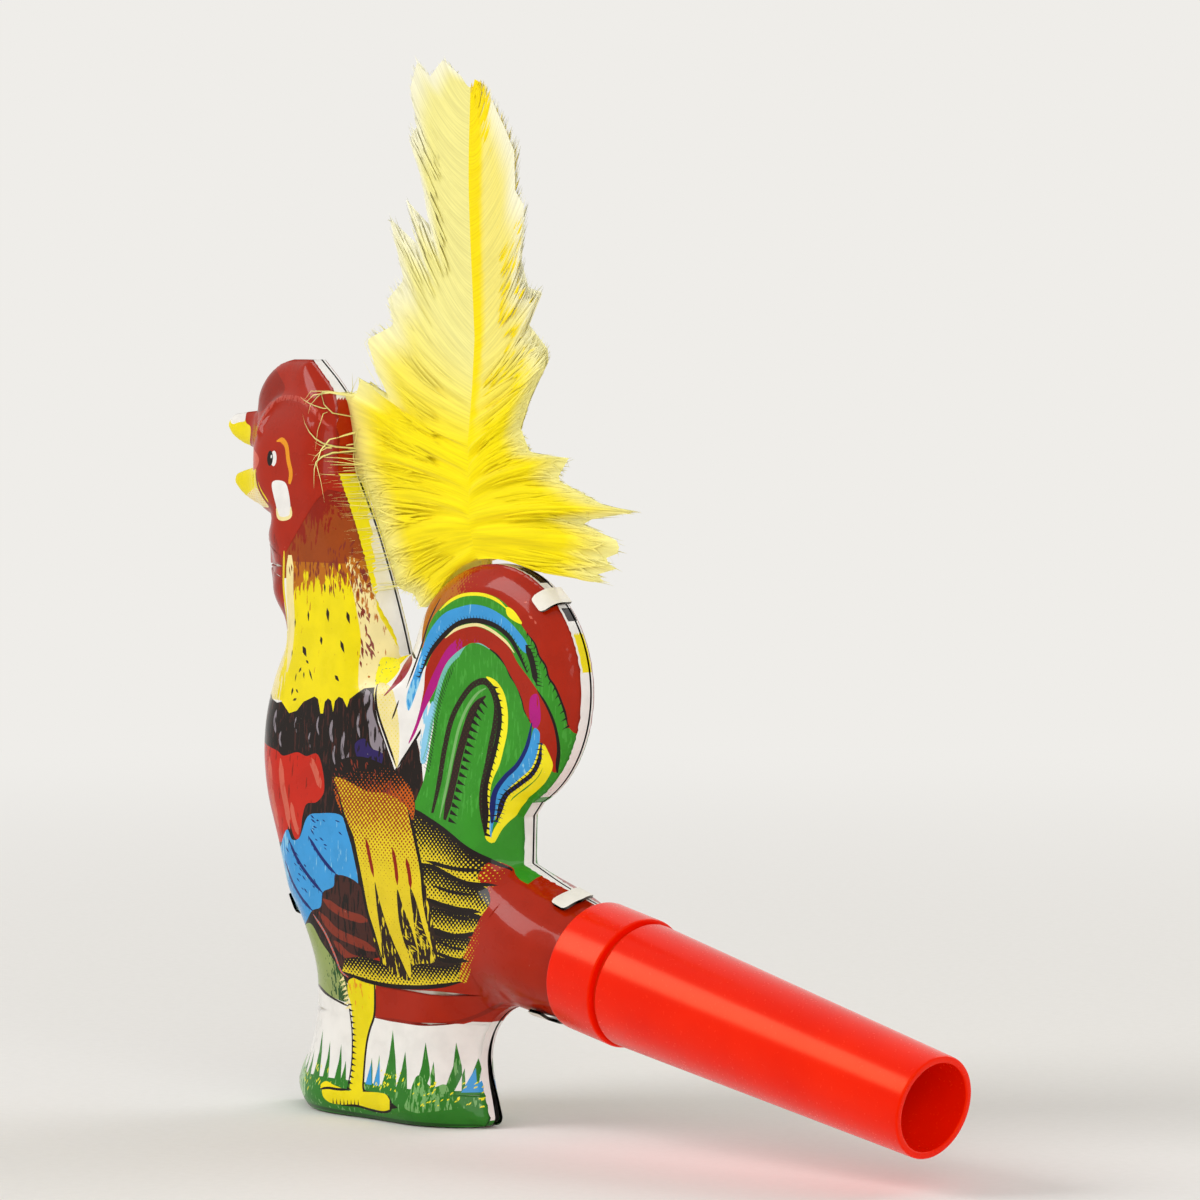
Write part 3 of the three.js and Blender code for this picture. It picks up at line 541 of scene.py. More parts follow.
@dataclass(frozen=True)
class Axis:
    """The drooping axis that the spigot and the mouthpiece share."""

    droop: float = math.radians(11.7)
    seat: tuple[float, float] = (5.2, 21.7)

    def split(self, points: Array) -> tuple[Array, Array]:
        """Places along and across the axis of points in (x, z)."""
        offset = points - self.seat
        along = offset @ (math.cos(self.droop), -math.sin(self.droop))
        return along, offset @ (math.sin(self.droop), math.cos(self.droop))

    def at(self, along: float, across: float) -> tuple[float, float]:
        """The point in (x, z) at a place along and across the axis."""
        x = self.seat[0] + along * math.cos(self.droop) + across * math.sin(self.droop)
        return x, self.seat[1] - along * math.sin(self.droop) + across * math.cos(self.droop)

    def onto(self, points: Array) -> Array:
        """Points that were made along +X from the seat, laid on to the axis."""
        c, s = math.cos(self.droop), math.sin(self.droop)
        turned = points @ np.array([[c, 0, -s], [0, 1, 0], [s, 0, c]])
        return turned + (self.seat[0], 0, self.seat[1])


@dataclass
class Outline:
    """The rooster's outline in the seam plane, anticlockwise, with its open edges marked.

    A grid over the plane keeps each cell's distance to the walled edges.
    """

    axis: Axis
    step: float = 0.4
    cell: float = 0.4
    margin: float = 2.0
    exact_band: float = 1.4
    slope_blur: float = 1.2
    spigot_radius: float = 6.85
    spigot_length: float = 6.7
    taper: float = 0.2
    # Places along the axis where the shoulder meets the arch below and the back above
    heel: float = -6.0
    rump: float = -7.0
    foot: tuple[float, float] = (-48.9, -12.2)
    foot_round: float = 1.2
    tail_centre: tuple[float, float] = (-11, 55.3)
    tail_radius: float = 15.5
    tail_angles: tuple[float, float] = (-64, 166)
    notch: tuple[float, float] = (-28.6, 58.4)
    saddle: Points = ((-5.9, 33.6), (-5.7, 40))
    comb_front: Points = ((-57, 89.3), (-56.5, 91.6), (-54.8, 93.9), (-52.4, 95.4), (-50, 96))
    comb_rear: Points = ((-45.6, 96), (-42, 93), (-40.2, 91), (-39.2, 87.5), (-38.8, 81.5))
    neck_rear: Points = ((-38.8, 81.5), (-35.2, 75), (-32.1, 68.1), (-30, 62.6), (-28.6, 58.4))
    arch: Points = ((-12.7, 3), (-13.6, 6), (-13.9, 9), (-12.8, 12.2), (-10.3, 14.7), (-6.5, 15.9))
    breast: Points = (
        (-49.8, 60.4), (-52, 56.5), (-53.9, 51), (-54.5, 45), (-53.6, 39), (-51.4, 33.1),
        (-48.6, 25.4), (-46.3, 22.6), (-45.3, 18), (-45.4, 13.1), (-46.6, 8.3), (-48.8, 4.5),
    )
    wattle: Points = ((-51, 75.4), (-52.9, 73.2), (-54, 70), (-53.2, 66.5), (-51.4, 63.4), (-49.5, 61.4))
    beak_under: Points = ((-62, 79.9), (-60.4, 78.5), (-58, 77.4), (-54.4, 76.5), (-51, 75.4))
    mouth_low: Points = ((-57.1, 83), (-58, 82), (-59.8, 81.5), (-61.6, 80.9), (-62, 79.9))
    mouth_high: Points = ((-63.4, 87.4), (-62.4, 86.1), (-60.2, 85), (-58, 84.3), (-57.1, 83))
    beak_top: Points = ((-57, 89.3), (-60, 89), (-62.2, 88.6), (-63.4, 87.4))

    def shoulder(self, along: Array) -> Array:
        """Radius of the round shoulder at a place along the spigot's axis."""
        return self.spigot_radius + self.taper * np.maximum(0, -np.asarray(along))

    def __post_init__(self) -> None:
        """Traces the outline and measures the grid."""
        self.loop, self.open = self.trace()
        self.starts, self.ends = self.loop[~self.open], np.roll(self.loop, -1, axis=0)[~self.open]
        self.low = self.loop.min(0) - self.margin
        size = self.loop.max(0) + self.margin - self.low
        self.shape = tuple(np.ceil(size / self.cell).astype(int) + 1)
        x, z = (self.low[k] + np.arange(self.shape[k]) * self.cell for k in (0, 1))
        self.cells = np.stack(np.meshgrid(x, z, indexing="ij"), -1).reshape(-1, 2)
        self.gap = edge_distance(self.cells, self.starts, self.ends).reshape(self.shape)
        self.gap_slope = [blurred(part, self.slope_blur) for part in np.gradient(self.gap, self.cell)]
        run = unit(np.roll(self.loop, -1, axis=0) - np.roll(self.loop, 1, axis=0))
        self.inwards = np.stack([-run[:, 1], run[:, 0]], -1)

    def look_up(self, grid: Array, points: Array) -> Array:
        """Values of a grid at points, between its cells in proportion."""
        place = (points - self.low) / self.cell
        cell = np.clip(np.floor(place).astype(int), 0, np.array(self.shape) - 2)
        share = np.clip(place - cell, 0, 1)
        i, j, a, b = cell[:, 0], cell[:, 1], share[:, 0], share[:, 1]
        below = grid[i, j] * (1 - a) + grid[i + 1, j] * a
        above = grid[i, j + 1] * (1 - a) + grid[i + 1, j + 1] * a
        return below * (1 - b) + above * b

    def edge_gap(self, points: Array) -> Array:
        """Distance of points to the walled outline, exact beside it."""
        gap = self.look_up(self.gap, points)
        near = gap < self.exact_band
        gap[near] = edge_distance(points[near], self.starts, self.ends)
        return gap

    def trace(self) -> tuple[Array, Array]:
        """The outline's points, and whether the edge that leaves each point is open."""
        step, axis = self.step, self.axis
        top = axis.at(self.spigot_length, self.spigot_radius)
        under = axis.at(self.spigot_length, -self.spigot_radius)
        heel = axis.at(self.heel, -float(self.shoulder(self.heel)))
        back = [top, axis.at(self.rump, float(self.shoulder(self.rump))), self.saddle[0]]
        front, rear, corner = self.foot[0], self.foot[1], self.foot_round
        tail = arc(self.tail_centre, self.tail_radius, *self.tail_angles, step)

        def line(*ends: Sequence[float]) -> Array:
            """Samples a straight run."""
            return resample(np.array(ends, float), step)

        runs = [
            (line((front + corner, 0), (rear - corner, 0)), True),
            (arc((rear - corner, corner), corner, -90, 0, step), False),
            (smooth([(rear, corner), *self.arch, heel], step), False),
            (line(heel, under), False),
            (line(under, top), True),
            (smooth(back, step), False),
            (line(*self.saddle), False),
            (tail, False),
            (line(tail[-1], self.notch), False),
            *((smooth(run[::-1], step), False) for run in (self.neck_rear, self.comb_rear)),
            (line(self.comb_rear[0], self.comb_front[-1]), False),
            (smooth(self.comb_front[::-1], step), False),
            *((smooth(run, step), False) for run in (self.beak_top, self.mouth_high, self.mouth_low)),
            *((smooth(run, step), False) for run in (self.beak_under, self.wattle)),
            (smooth([*self.breast, (front, corner)], step), False),
            (arc((front + corner, corner), corner, 180, 270, step), False),
        ]
        points = np.vstack([run[:-1] for run, _ in runs])
        is_open = np.concatenate([np.full(len(run) - 1, mark) for run, mark in runs])
        keep = np.linalg.norm(points - np.roll(points, 1, axis=0), axis=1) > step * 0.2
        return points[keep], is_open[keep]


@dataclass
class Pressing:
    """The pressed depth of one tin half over the seam plane, kept on the outline's grid.

    The far half is soft at some stations: its wall is low and its face slopes gently to it.
    """

    outline: Outline
    far: bool = False
    corner: float = 0.55
    power: float = 2.2
    soften: float = 0.9
    soft_band: tuple[float, float] = (0.4, 2.4)
    # Height over the floor and depth at the floor of the skirt's flare, its curl and the gaping seam
    flare: tuple[float, float] = (7.0, 1.2)
    curl: tuple[float, float] = (2.4, 1.7)
    gape: tuple[float, float] = (12.0, 0.55)
    gape_front: float = -17.0
    skirt_power: float = 1.6
    skirt_reach: float = 6.0
    spigot_blend: tuple[float, float] = (-16.0, -3.0)
    least: float = 0.3
    seam: float = 0.15
    ridge: float = 0.5
    ridge_width: float = 0.45
    soft_wall: float = 0.5
    soft_slope: float = 1.0
    # Each station: x, z, the wall's height, the face's further rise, its round-over, its reach
    stations: Sequence[Sequence[float]] = (
        (-51, 93.5, 1.2, 1.2, 2.5, 3.5), (-60, 87, 0.9, 0.4, 1, 3), (-60, 80, 0.9, 0.4, 1, 3),
        (-49, 83.5, 1.6, 4, 4.5, 4), (-53, 69, 1.1, 0.5, 1.2, 2.3), (-49, 60, 0.8, 5.6, 7, 5),
        (-50, 47, 0.8, 7, 9.5, 7), (-48, 32, 0.8, 7.4, 10, 6), (-30, 33, 2, 6.8, 8, 9),
        (-44, 14, 0.4, 6, 10, 5), (-44, 2, 0.4, 7.4, 12, 5),
    )
    soft_stations: Sequence[Sequence[float]] = (
        (-44, 93, 2, 1.6, 2.5, 3.5), (-42, 85, 3.4, 2.6, 3, 4), (-42, 73, 3.6, 2.8, 3, 6),
        (-35, 66, 4.2, 1.8, 2, 4), (-34, 50, 3.4, 4.4, 6, 7), (-20, 12, 1.6, 5.2, 7, 6),
        (-18, 2, 2.2, 5.6, 9, 5), (-27, 61, 1.1, 2, 4, 2.4), (-13, 58, 2, 2.2, 4, 8),
        (-20, 46, 2, 4, 5, 6), (-12, 35, 2, 5, 6, 5),
    )
    # The raised line that sets the comb off from the face
    brow: Points = (
        (-52.5, 86.5), (-52.5, 88.1), (-51.6, 89.7), (-50, 90.8), (-47.3, 91.1), (-43.9, 90.7), (-41.5, 89.5),
        (-39.6, 87.6),
    )

    def __post_init__(self) -> None:
        """Works out the depth on the grid, softened away from the edges."""
        out = self.outline
        exact = self.raw_depth(out.cells, out.gap.ravel()).reshape(out.shape)
        share = ramp(out.gap, *self.soft_band)
        self.depth = exact * (1 - share) + blurred(exact, self.soften / out.cell) * share
        line = smooth(self.brow, 0.3)
        near = edge_distance(out.cells, line[:-1], line[1:]).reshape(out.shape)
        self.depth = self.depth + self.ridge * np.exp(-((near / self.ridge_width) ** 2))
        self.slope = np.gradient(self.depth, out.cell)

    def table(self) -> Array:
        """All the stations, with the soft ones lowered on the far half."""
        soft = np.array(self.soft_stations, float)
        if self.far:
            rise = soft[:, 3] + soft[:, 2] - self.soft_wall
            soft[:, 4] = np.maximum(soft[:, 4], self.power * rise / self.soft_slope)
            soft[:, 2], soft[:, 3] = self.soft_wall, rise
        return np.vstack([self.stations, soft])

    def raw_depth(self, points: Array, gap: Array) -> Array:
        """Depth of the pressed skin before it is softened.

        It is wall + rise * (1 - (1 - gap / round) ** power), whose values are the stations' means
        weighted by bell curves of their distances. Near the floor the skirt flares out and curls
        back in at its edge, and near the spigot the section turns into a round.
        """
        table = self.table()
        off = ((points[:, None] - table[:, :2]) ** 2).sum(-1)
        weights = np.exp(-off / (2 * table[:, 5] ** 2)) + TINY
        weights /= weights.sum(1, keepdims=True)
        wall, rise, width = (weights @ table[:, k] for k in (2, 3, 4))
        share = np.clip(gap / width, 0, 1)
        flare = self.flare[1] * np.clip(1 - points[:, 1] / self.flare[0], 0, None) ** self.skirt_power
        curl = self.curl[1] * np.clip(1 - points[:, 1] / self.curl[0], 0, 1.6) ** 2
        skirt = (flare - curl) * ramp(gap, 0, self.skirt_reach)
        pressed = wall + rise * (1 - (1 - share) ** self.power) + skirt
        along, across = self.outline.axis.split(points)
        radius = self.outline.shoulder(along)
        rounded = np.sqrt(np.maximum(radius**2 - across**2, 0.6))
        low = points[:, 1] < self.outline.saddle[0][1] + 2
        blend = np.where(low, ramp(along, *self.spigot_blend), 0)
        return np.maximum(pressed * (1 - blend) + rounded * blend, self.least)

    def rounding(self, points: Array) -> Array:
        """Radius of the rounded corner between face and wall at each point."""
        return np.clip(0.45 * (self.outline.look_up(self.depth, points) - self.seam), 0.1, self.corner)

    def rim(self, points: Array) -> Array:
        """Depth of the corner's start, where the wall ends, at points on the outline."""
        return self.outline.look_up(self.depth, points) - self.rounding(points)

    def surface(self, points: Array) -> tuple[Array, Array]:
        """The skin over points of the seam plane.

        The depth is the grid's, less a quarter round beside the outline. The normal is
        (-dh/dx, -1, -dh/dz), with the quarter round's own slope added along the way inwards.

        Returns:
            Places and normals in three dimensions, one row per point.
        """
        look = self.outline.look_up
        radius = self.rounding(points)
        inwards = np.clip(radius - self.outline.edge_gap(points), 0, None)
        drop = radius - np.sqrt(np.maximum(radius**2 - inwards**2, 0))
        depth = look(self.depth, points) - drop
        steep = inwards / np.sqrt(np.maximum(radius**2 - inwards**2, (0.12 * radius) ** 2))
        slopes = [
            look(part, points) + steep * look(way, points)
            for part, way in zip(self.slope, self.outline.gap_slope)
        ]
        places = np.stack([points[:, 0], -depth, points[:, 1]], -1)
        return places, np.stack([-slopes[0], -np.ones(len(points)), -slopes[1]], -1)

    def seam_edge(self, points: Array) -> Array:
        """Distance of the half's edge from the seam plane, more where the halves gape."""
        height, depth = self.gape
        apart = depth * np.clip(1 - points[:, 1] / height, 0, 1)
        return self.seam + np.where(points[:, 0] > self.gape_front, apart, 0)


@dataclass
class InkShape:
    """One printed shape: an ink, with a second one over it in brush strokes, or in dots at 0."""

    loop: Array
    ink: Ink
    over: Optional[Ink] = None
    cover: Field = 0.0
    strokes: float = 1.0


class Print:
    """The artwork of one tin half, as shapes painted one after another in (x, z)."""

    step: float = 0.3
    line_step: float = 0.35
    # Growth of a line's width from its ends, per share of its length
    swell: float = 5.0
    # Corners of a brush mark, as shares of half its length and of half its width
    brush_mark: Points = ((-1, 0), (0, -0.9), (0.3, -1), (1, 0), (0.2, 1), (-0.4, 0.7))

    def __init__(self, ground: Ink) -> None:
        """Starts a print on its ground colour."""
        self.ground = ground
        self.shapes: list[InkShape] = []

    def area(self, points: Points, ink: Ink, sharp: bool = False, **more) -> None:
        """Adds a closed area, with smooth or straight sides."""
        loop = np.array(points, float) if sharp else smooth(points, self.step, closed=True)
        self.shapes.append(InkShape(loop, ink, **more))

    def line(
        self, points: Sequence, width: float, ink: Ink, taper: tuple[float, float] = (0.3, 0.3), **more
    ) -> None:
        """Adds a stroke along a curve.

        Args:
            points: Points that the stroke's middle goes through.
            width: Its greatest width, in millimetres.
            ink: Its ink.
            taper: Share of the width that is left at the start and at the end.
            **more: A second ink, as for an area.
        """
        straight, step = len(points) < 3, self.line_step
        path = resample(np.array(points, float), step) if straight else smooth(points, step)
        share = np.linspace(0, 1, len(path))
        ends = np.minimum(taper[0] + share * self.swell, taper[1] + (1 - share) * self.swell)
        half = side_normals(path) * (width / 2 * np.minimum(1, ends))[:, None]
        self.shapes.append(InkShape(np.vstack([path + half, (path - half)[::-1]]), ink, **more))

    def barred(self, upper: Points, lower: Points) -> None:
        """Adds a gold feather whose black dots thin out from its upper edge to its lower one.

        The cover falls from 1.05 to 0.15 with the share of the way across, which is the distance
        to the upper edge over the sum of the distances to both edges.
        """
        lines = [smooth(edge, self.step) for edge in (upper, lower)]

        def cover(points: Array) -> Array:
            """Share of black at some points."""
            near, far = (edge_distance(points, line[:-1], line[1:]) for line in lines)
            return 1.05 - 0.9 * near / (near + far + TINY)

        loop = np.vstack([lines[0], lines[1][::-1]])
        self.shapes.append(InkShape(loop, Ink.GOLD, Ink.BLACK, cover, strokes=0))

    def comb(
        self, points: Sequence, length: float, pitch: float, width: float, ink: Ink, lean: float = 0.0
    ) -> None:
        """Adds a row of small teeth along a curve.

        Args:
            points: Points that the row's root goes through.
            length: Length of a tooth to the curve's left, or to its right if it is negative.
            pitch: Distance between the teeth.
            width: Width of a tooth at its root.
            ink: Ink of the teeth.
            lean: How far a tooth's tip leans forwards along the curve, as a share of its length.
        """
        path = smooth(points, pitch)
        out = side_normals(path)
        along = np.stack([out[:, 1], -out[:, 0]], -1)
        reach = abs(length)
        for root, away, ahead in zip(path, out * math.copysign(1, length), along):
            tip = root + away * reach + ahead * lean * reach
            foot = root - away * 0.1
            loop = [foot - ahead * width / 2, foot + ahead * width / 2, tip + ahead * width * 0.12]
            self.shapes.append(InkShape(np.array(loop), ink))

    def dash(self, at: Sequence[float], length: float, angle: float, width: float, ink: Ink) -> None:
        """Adds one short brush mark with pointed ends at a place, turned in degrees."""
        turn = math.radians(angle)
        ahead = np.array([math.cos(turn), math.sin(turn)]) * length / 2
        side = np.array([-math.sin(turn), math.cos(turn)]) * width / 2
        middle = np.array(at, float)
        loop = [middle + ahead * a + side * b for a, b in self.brush_mark]
        self.shapes.append(InkShape(np.array(loop), ink))

    def paint(self, points: Array) -> Array:
        """Number of the last shape that holds each point, or -1 for the ground."""
        chosen = np.full(len(points), -1)
        for i, shape in enumerate(self.shapes):
            chosen[inside(points, shape.loop)] = i
        return chosen

    def colours(self, chosen: Array, corners: Array) -> dict:
        """The ink attributes of faces.

        Args:
            chosen: Each face's shape, from paint.
            corners: Each face's corners in (x, z), with a row per corner.

        Returns:
            Attribute name to a colour per face and corner.
        """
        count, per_face = corners.shape[:2]
        made = {name: np.zeros((count, per_face, 4)) for name in ("ink", "over", "amount")}
        made["ink"][:] = linear(self.ground.value)
        made["over"][:] = linear(self.ground.value)
        made["amount"][..., 3] = 1
        for i in np.unique(chosen[chosen >= 0]):
            shape, rows = self.shapes[i], chosen == i
            made["ink"][rows] = linear(shape.ink.value)
            made["over"][rows] = linear((shape.over or shape.ink).value)
            if shape.over:
                flat = corners[rows].reshape(-1, 2)
                cover = shape.cover(flat) if callable(shape.cover) else np.full(len(flat), shape.cover)
                made["amount"][rows, :, 0] = np.clip(cover, 0, 1).reshape(-1, per_face)
                made["amount"][rows, :, 1] = shape.strokes
        return made


class RoosterPrint(Print):
    """The rooster's plumage as printed on one half: flat inks, dot tints and pen strokes."""

    # The ragged lower edge of the hackle, where its yellow ends on the dark breast
    hackle_edge: Points = (
        (-45, 52.2), (-43.3, 50.8), (-41.8, 51.2), (-40.5, 52.4), (-38.3, 53.2), (-37.6, 52.9), (-37.1, 51.1),
        (-36.6, 51.1), (-36.3, 52.6), (-35.7, 53.1), (-35.1, 52.8), (-34.7, 51.4), (-34.4, 52.8),
        (-33.7, 53.4), (-33, 53.2), (-32.2, 52.1), (-31.8, 53.2), (-29.8, 54.6),
    )

    # Parts of the side wall that stay white, as x from, x to, z from and z to
    white_wall: Sequence[Sequence[float]] = (
        (-42, math.inf, 57, 81.5), (-47, -37, 91, math.inf), (-30, math.inf, 57, math.inf),
        (-9, math.inf, 30, 41), (-16, math.inf, 0.9, 13),
    )
    # Bars on the tail's wall, each an ink and the degrees round the tail's centre that it spans
    wall_bars: Sequence = ((Ink.BLACK, 60, 77), (Ink.BLACK, 35, 42), (Ink.YELLOW, 10, 28))
    size_spread: tuple[float, float] = (0.6, 1.4)
    width_spread: tuple[float, float] = (0.7, 1.2)
    turn_spread: float = 9.0

    def __init__(self) -> None:
        """Paints the areas from back to front."""
        super().__init__(Ink.WHITE)
        self.rng = np.random.default_rng(SEED)
        self.head()
        self.neck()
        self.breast()
        self.belly()
        self.meadow()
        self.leg_and_foot()
        self.tail_ground()
        self.tail_front()
        self.tail_bands()
        self.tail_blades()
        self.wing()
        self.saddle_feathers()

    def scatter(
        self, loop: Points, count: int, length: float, angle: float, width: float, ink: Ink
    ) -> None:
        """Adds short brush marks at seeded random places in an area."""
        corners = np.array(loop, float)
        spots = self.rng.uniform(corners.min(0), corners.max(0), (count * 3, 2))
        for spot in spots[inside(spots, corners)][:count]:
            size = length * self.rng.uniform(*self.size_spread)
            turn = angle + self.rng.normal(0, self.turn_spread)
            self.dash(spot, size, turn, width * self.rng.uniform(*self.width_spread), ink)

    def marks(self, ink: Ink, *marks: Sequence[float]) -> None:
        """Adds brush marks, each given as x, z, length, angle and width."""
        for x, z, length, angle, width in marks:
            self.dash((x, z), length, angle, width, ink)

    def head(self) -> None:
        """Comb, face, beak, eye, ear lobe and wattle."""
        self.area(((-66, 69.5), (-66, 98), (-36, 98), (-32, 69.5)), Ink.BRICK, sharp=True)
        self.area((
            (-56.8, 89.1), (-56.4, 91.6), (-54.8, 93.5), (-52.9, 94.7), (-50.7, 93.6), (-49.3, 92.3),
            (-50, 91), (-52.1, 90.5), (-53.5, 89.4), (-55.3, 89.1),
        ), Ink.COMB)
        # A painted highlight: a light red stroke along the pressed brow, where the raised line catches the
        # light
        self.line(Pressing.brow, 0.7, Ink.BROW_HIGHLIGHT_RED, (0.2, 0.2), over=Ink.BRICK, cover=0.4)
        self.area((
            (-63.9, 87.5), (-62.3, 89.1), (-59.7, 89.2), (-59, 87.7), (-57.8, 87.1), (-58.4, 84.8),
            (-60.1, 84.7), (-62, 85.5),
        ), Ink.YELLOW)
        self.area(((-62.8, 88.6), (-59.7, 89.2), (-59.2, 88), (-60.7, 87.7), (-62, 87.5)), Ink.WHITE)
        self.area((
            (-62.5, 79.9), (-61.5, 81.5), (-59.1, 81.7), (-56.9, 82.1), (-52.7, 82), (-52.3, 80.9),
            (-51.1, 79.2), (-49.7, 77.7), (-49.9, 77.1), (-52.7, 76.9), (-55.3, 76.7), (-57.5, 76.8),
            (-60, 77.9),
        ), Ink.YELLOW)
        self.area((
            (-59.7, 77.7), (-57.5, 76.8), (-55.3, 76.7), (-52.7, 76.9), (-49.9, 77.1), (-51.1, 78.7),
            (-53.2, 79.5), (-55.3, 79.3), (-57.2, 79),
        ), Ink.CREAM, over=Ink.AMBER, cover=0.2, strokes=0)
        self.line(((-56.8, 80.9), (-55.3, 81.1), (-53.9, 80.7)), 0.6, Ink.MAROON, (0.1, 0.1))
        self.area((
            (-58, 84.3), (-53.2, 84.2), (-51.7, 83.1), (-52.5, 81.9), (-56.9, 82), (-57.5, 83.1),
        ), Ink.SALMON)
        self.line(((-52.7, 81.7), (-51.9, 79.6), (-50.3, 77.7), (-48.3, 76.6)), 0.5, Ink.COMB, (0.2, 0.1))
        self.line((
            (-48.2, 85.5), (-47.2, 85.7), (-46.1, 85), (-45.5, 83.1), (-44.9, 81.5), (-45.1, 80.1),
        ), 0.75, Ink.AMBER, (0.2, 0.6))
        self.area((
            (-48.7, 80.2), (-46.1, 80.3), (-45.3, 79.3), (-44.7, 76.1), (-46, 75.5), (-46.9, 75.9),
            (-47.7, 77.3),
        ), Ink.WHITE)
        self.line(((-47.6, 76.9), (-46.9, 75.7), (-44.6, 76), (-44.6, 77.2)), 0.5, Ink.CREAM)
        angle = np.linspace(0, 2 * math.pi, 24, endpoint=False)
        eye = np.stack([-49.3 + 0.6 * np.cos(angle), 83.3 + 1.0 * np.sin(angle)], -1)
        self.area(eye + (0.75, 0), Ink.WHITE, True)
        self.area(eye, Ink.BLACK, True)
        # A small white glint in the eye, a painted highlight
        self.area(eye * 0.22 + (-38.2, 65.2), Ink.WHITE, True)

    def neck(self) -> None:
        """The hackle: brick that breaks up through orange into yellow, with loose pen marks."""
        band = ((-57, 69.5), (-57, 74), (-46, 70.6), (-38.8, 79.5), (-31, 77), (-28, 68), (-46, 68))
        self.area(
            band, Ink.COMB, True, over=Ink.RUSSET,
            cover=lambda p: ramp(0.6 * (p[:, 0] + 46.5) - p[:, 1], -75, -67),
        )
        wattle = (
            (-56, 76.5), (-51.5, 75.3), (-49, 75.5), (-47.2, 72.5), (-46.2, 70), (-45.8, 64),
            (-46, 61.2), (-56, 61),
        )
        self.area(wattle, Ink.COMB, over=Ink.BRICK, cover=0.5)
        hackle = [*self.hackle_edge, (-26, 56), (-31.2, 70.2), (-44.8, 70.2)]
        self.area(
            hackle, Ink.ORANGE, True, over=Ink.YELLOW,
            cover=lambda p: 1 - 0.9 * ramp(p[:, 1] - 0.2 * (p[:, 0] + 45), 62.5, 70),
        )
        self.line(((-45.8, 71.5), (-45.9, 67.5), (-45.5, 64), (-45.7, 61)), 0.4, Ink.GOLD, (0.4, 0.2))
        # A painted highlight: a broad cream stroke down the neck's front edge
        self.line(((-44.6, 71), (-44.6, 66.5), (-44.2, 62), (-44.6, 56)), 1.4, Ink.CREAM, (0.5, 0.4))
        # Paler cream towards the front: partly the print's pale yellow, partly a painted highlight on the
        # curved front
        self.area(
            ((-57, 61.4), (-45.4, 61.2), (-44.6, 56), (-45, 52.3), (-57, 52.6)),
            Ink.YELLOW, True, over=Ink.CREAM, cover=lambda p: 0.3 + ramp(p[:, 0], -45.5, -48),
        )
        self.area(
            (
                (-34.6, 71), (-32.6, 70), (-30.4, 63), (-28.4, 58.4), (-27, 56), (-28.4, 54.5), (-30.2, 54.2),
                (-31.4, 57), (-31.9, 61), (-32.8, 65.5),
            ),
            Ink.CREAM, over=Ink.ORANGE, cover=lambda p: 0.12 + 0.6 * ramp(p[:, 1], 61, 70),
        )
        self.scatter(((-33.4, 70), (-32.4, 70), (-30, 57), (-31.4, 57)), 30, 1.3, 108, 0.22, Ink.RUST)
        self.scatter(((-45, 68.2), (-45, 70.4), (-35, 70.6), (-34, 68.6)), 46, 1.1, 92, 0.26, Ink.RUST)
        self.scatter(((-37, 66), (-38, 73), (-34.5, 73), (-32, 66)), 34, 1.0, 96, 0.22, Ink.RUST)
        self.marks(
            Ink.BROWN_BLACK,
            (-40.9, 63.3, 1.5, 100, 0.34), (-37.3, 63.6, 1.9, 104, 0.6), (-33.6, 63.4, 1.7, 110, 0.55),
            (-38, 60.3, 1.2, 112, 0.5), (-34, 59.7, 1.9, 122, 0.5), (-41, 58.8, 1.7, 128, 0.75),
            (-43.4, 62.3, 1.3, 92, 0.25), (-40.2, 57.5, 0.8, 150, 0.35), (-41.6, 56.4, 0.9, 60, 0.35),
            (-40.7, 55.8, 0.9, 100, 0.3), (-39.3, 55.9, 1.8, 122, 0.32), (-34.2, 55.7, 1.2, 140, 0.5),
            (-42.9, 53.6, 1.1, 80, 0.4), (-42.3, 52.6, 0.9, 20, 0.35), (-41.9, 53.7, 0.8, 140, 0.3),
            (-43.7, 58.4, 1.0, 90, 0.22), (-42.4, 55.4, 1.2, 84, 0.24), (-38, 67, 1.3, 96, 0.34),
        )
        self.area((
            (-29.7, 58.4), (-28.4, 58.2), (-25.8, 57.1), (-26, 55.9), (-27.9, 54.8), (-29.3, 56.6),
        ), Ink.LEMON, over=Ink.OLIVE, cover=0.2)

    def breast(self) -> None:
        """The dark breast under the hackle, and the red, blue, maroon and olive parts below it."""
        dark = [
            (-57, 12.5), (-57, 52.6), (-50, 52.9), (-46, 52), *self.hackle_edge, (-28.3, 54.8),
            (-27, 50.5), (-24, 44.6), (-21, 49.2), (-19.7, 46), (-18, 38), (-10, 30),
            (-10, 17), (-34, 17), (-37, 13),
        ]
        self.area(dark, Ink.BLACK, True, over=Ink.MAROON, cover=0.3)
        self.area((
            (-29.7, 54.5), (-28.3, 53.8), (-27.9, 51.8), (-26.9, 49.5), (-25.7, 47.2), (-26.4, 46.5),
            (-28, 47.4), (-28.5, 49.8), (-29.1, 51.8),
        ), Ink.GREY, over=Ink.BLACK, cover=0.35)
        self.area((
            (-30.7, 47.5), (-29.1, 48.3), (-28.1, 47.2), (-26.1, 46.5), (-26.4, 45), (-28.1, 45.6),
            (-29.8, 45.4),
        ), Ink.PURPLE, over=Ink.BLACK, cover=0.3)
        for x, z, length, width in (
            (-35, 48.9, 3, 0.5), (-34.4, 46, 2.6, 0.35), (-32.8, 47, 4.2, 0.55), (-31.9, 44.9, 3, 0.4),
            (-30.2, 50, 3.2, 0.4), (-37.6, 49.5, 2.4, 0.3), (-46.2, 49.6, 3, 0.5), (-45, 47.4, 2, 0.35),
            (-27.4, 43, 1.4, 0.4), (-24.2, 43.6, 1.6, 0.25), (-39.2, 47.6, 2, 0.24), (-42, 49.4, 2, 0.24),
        ):
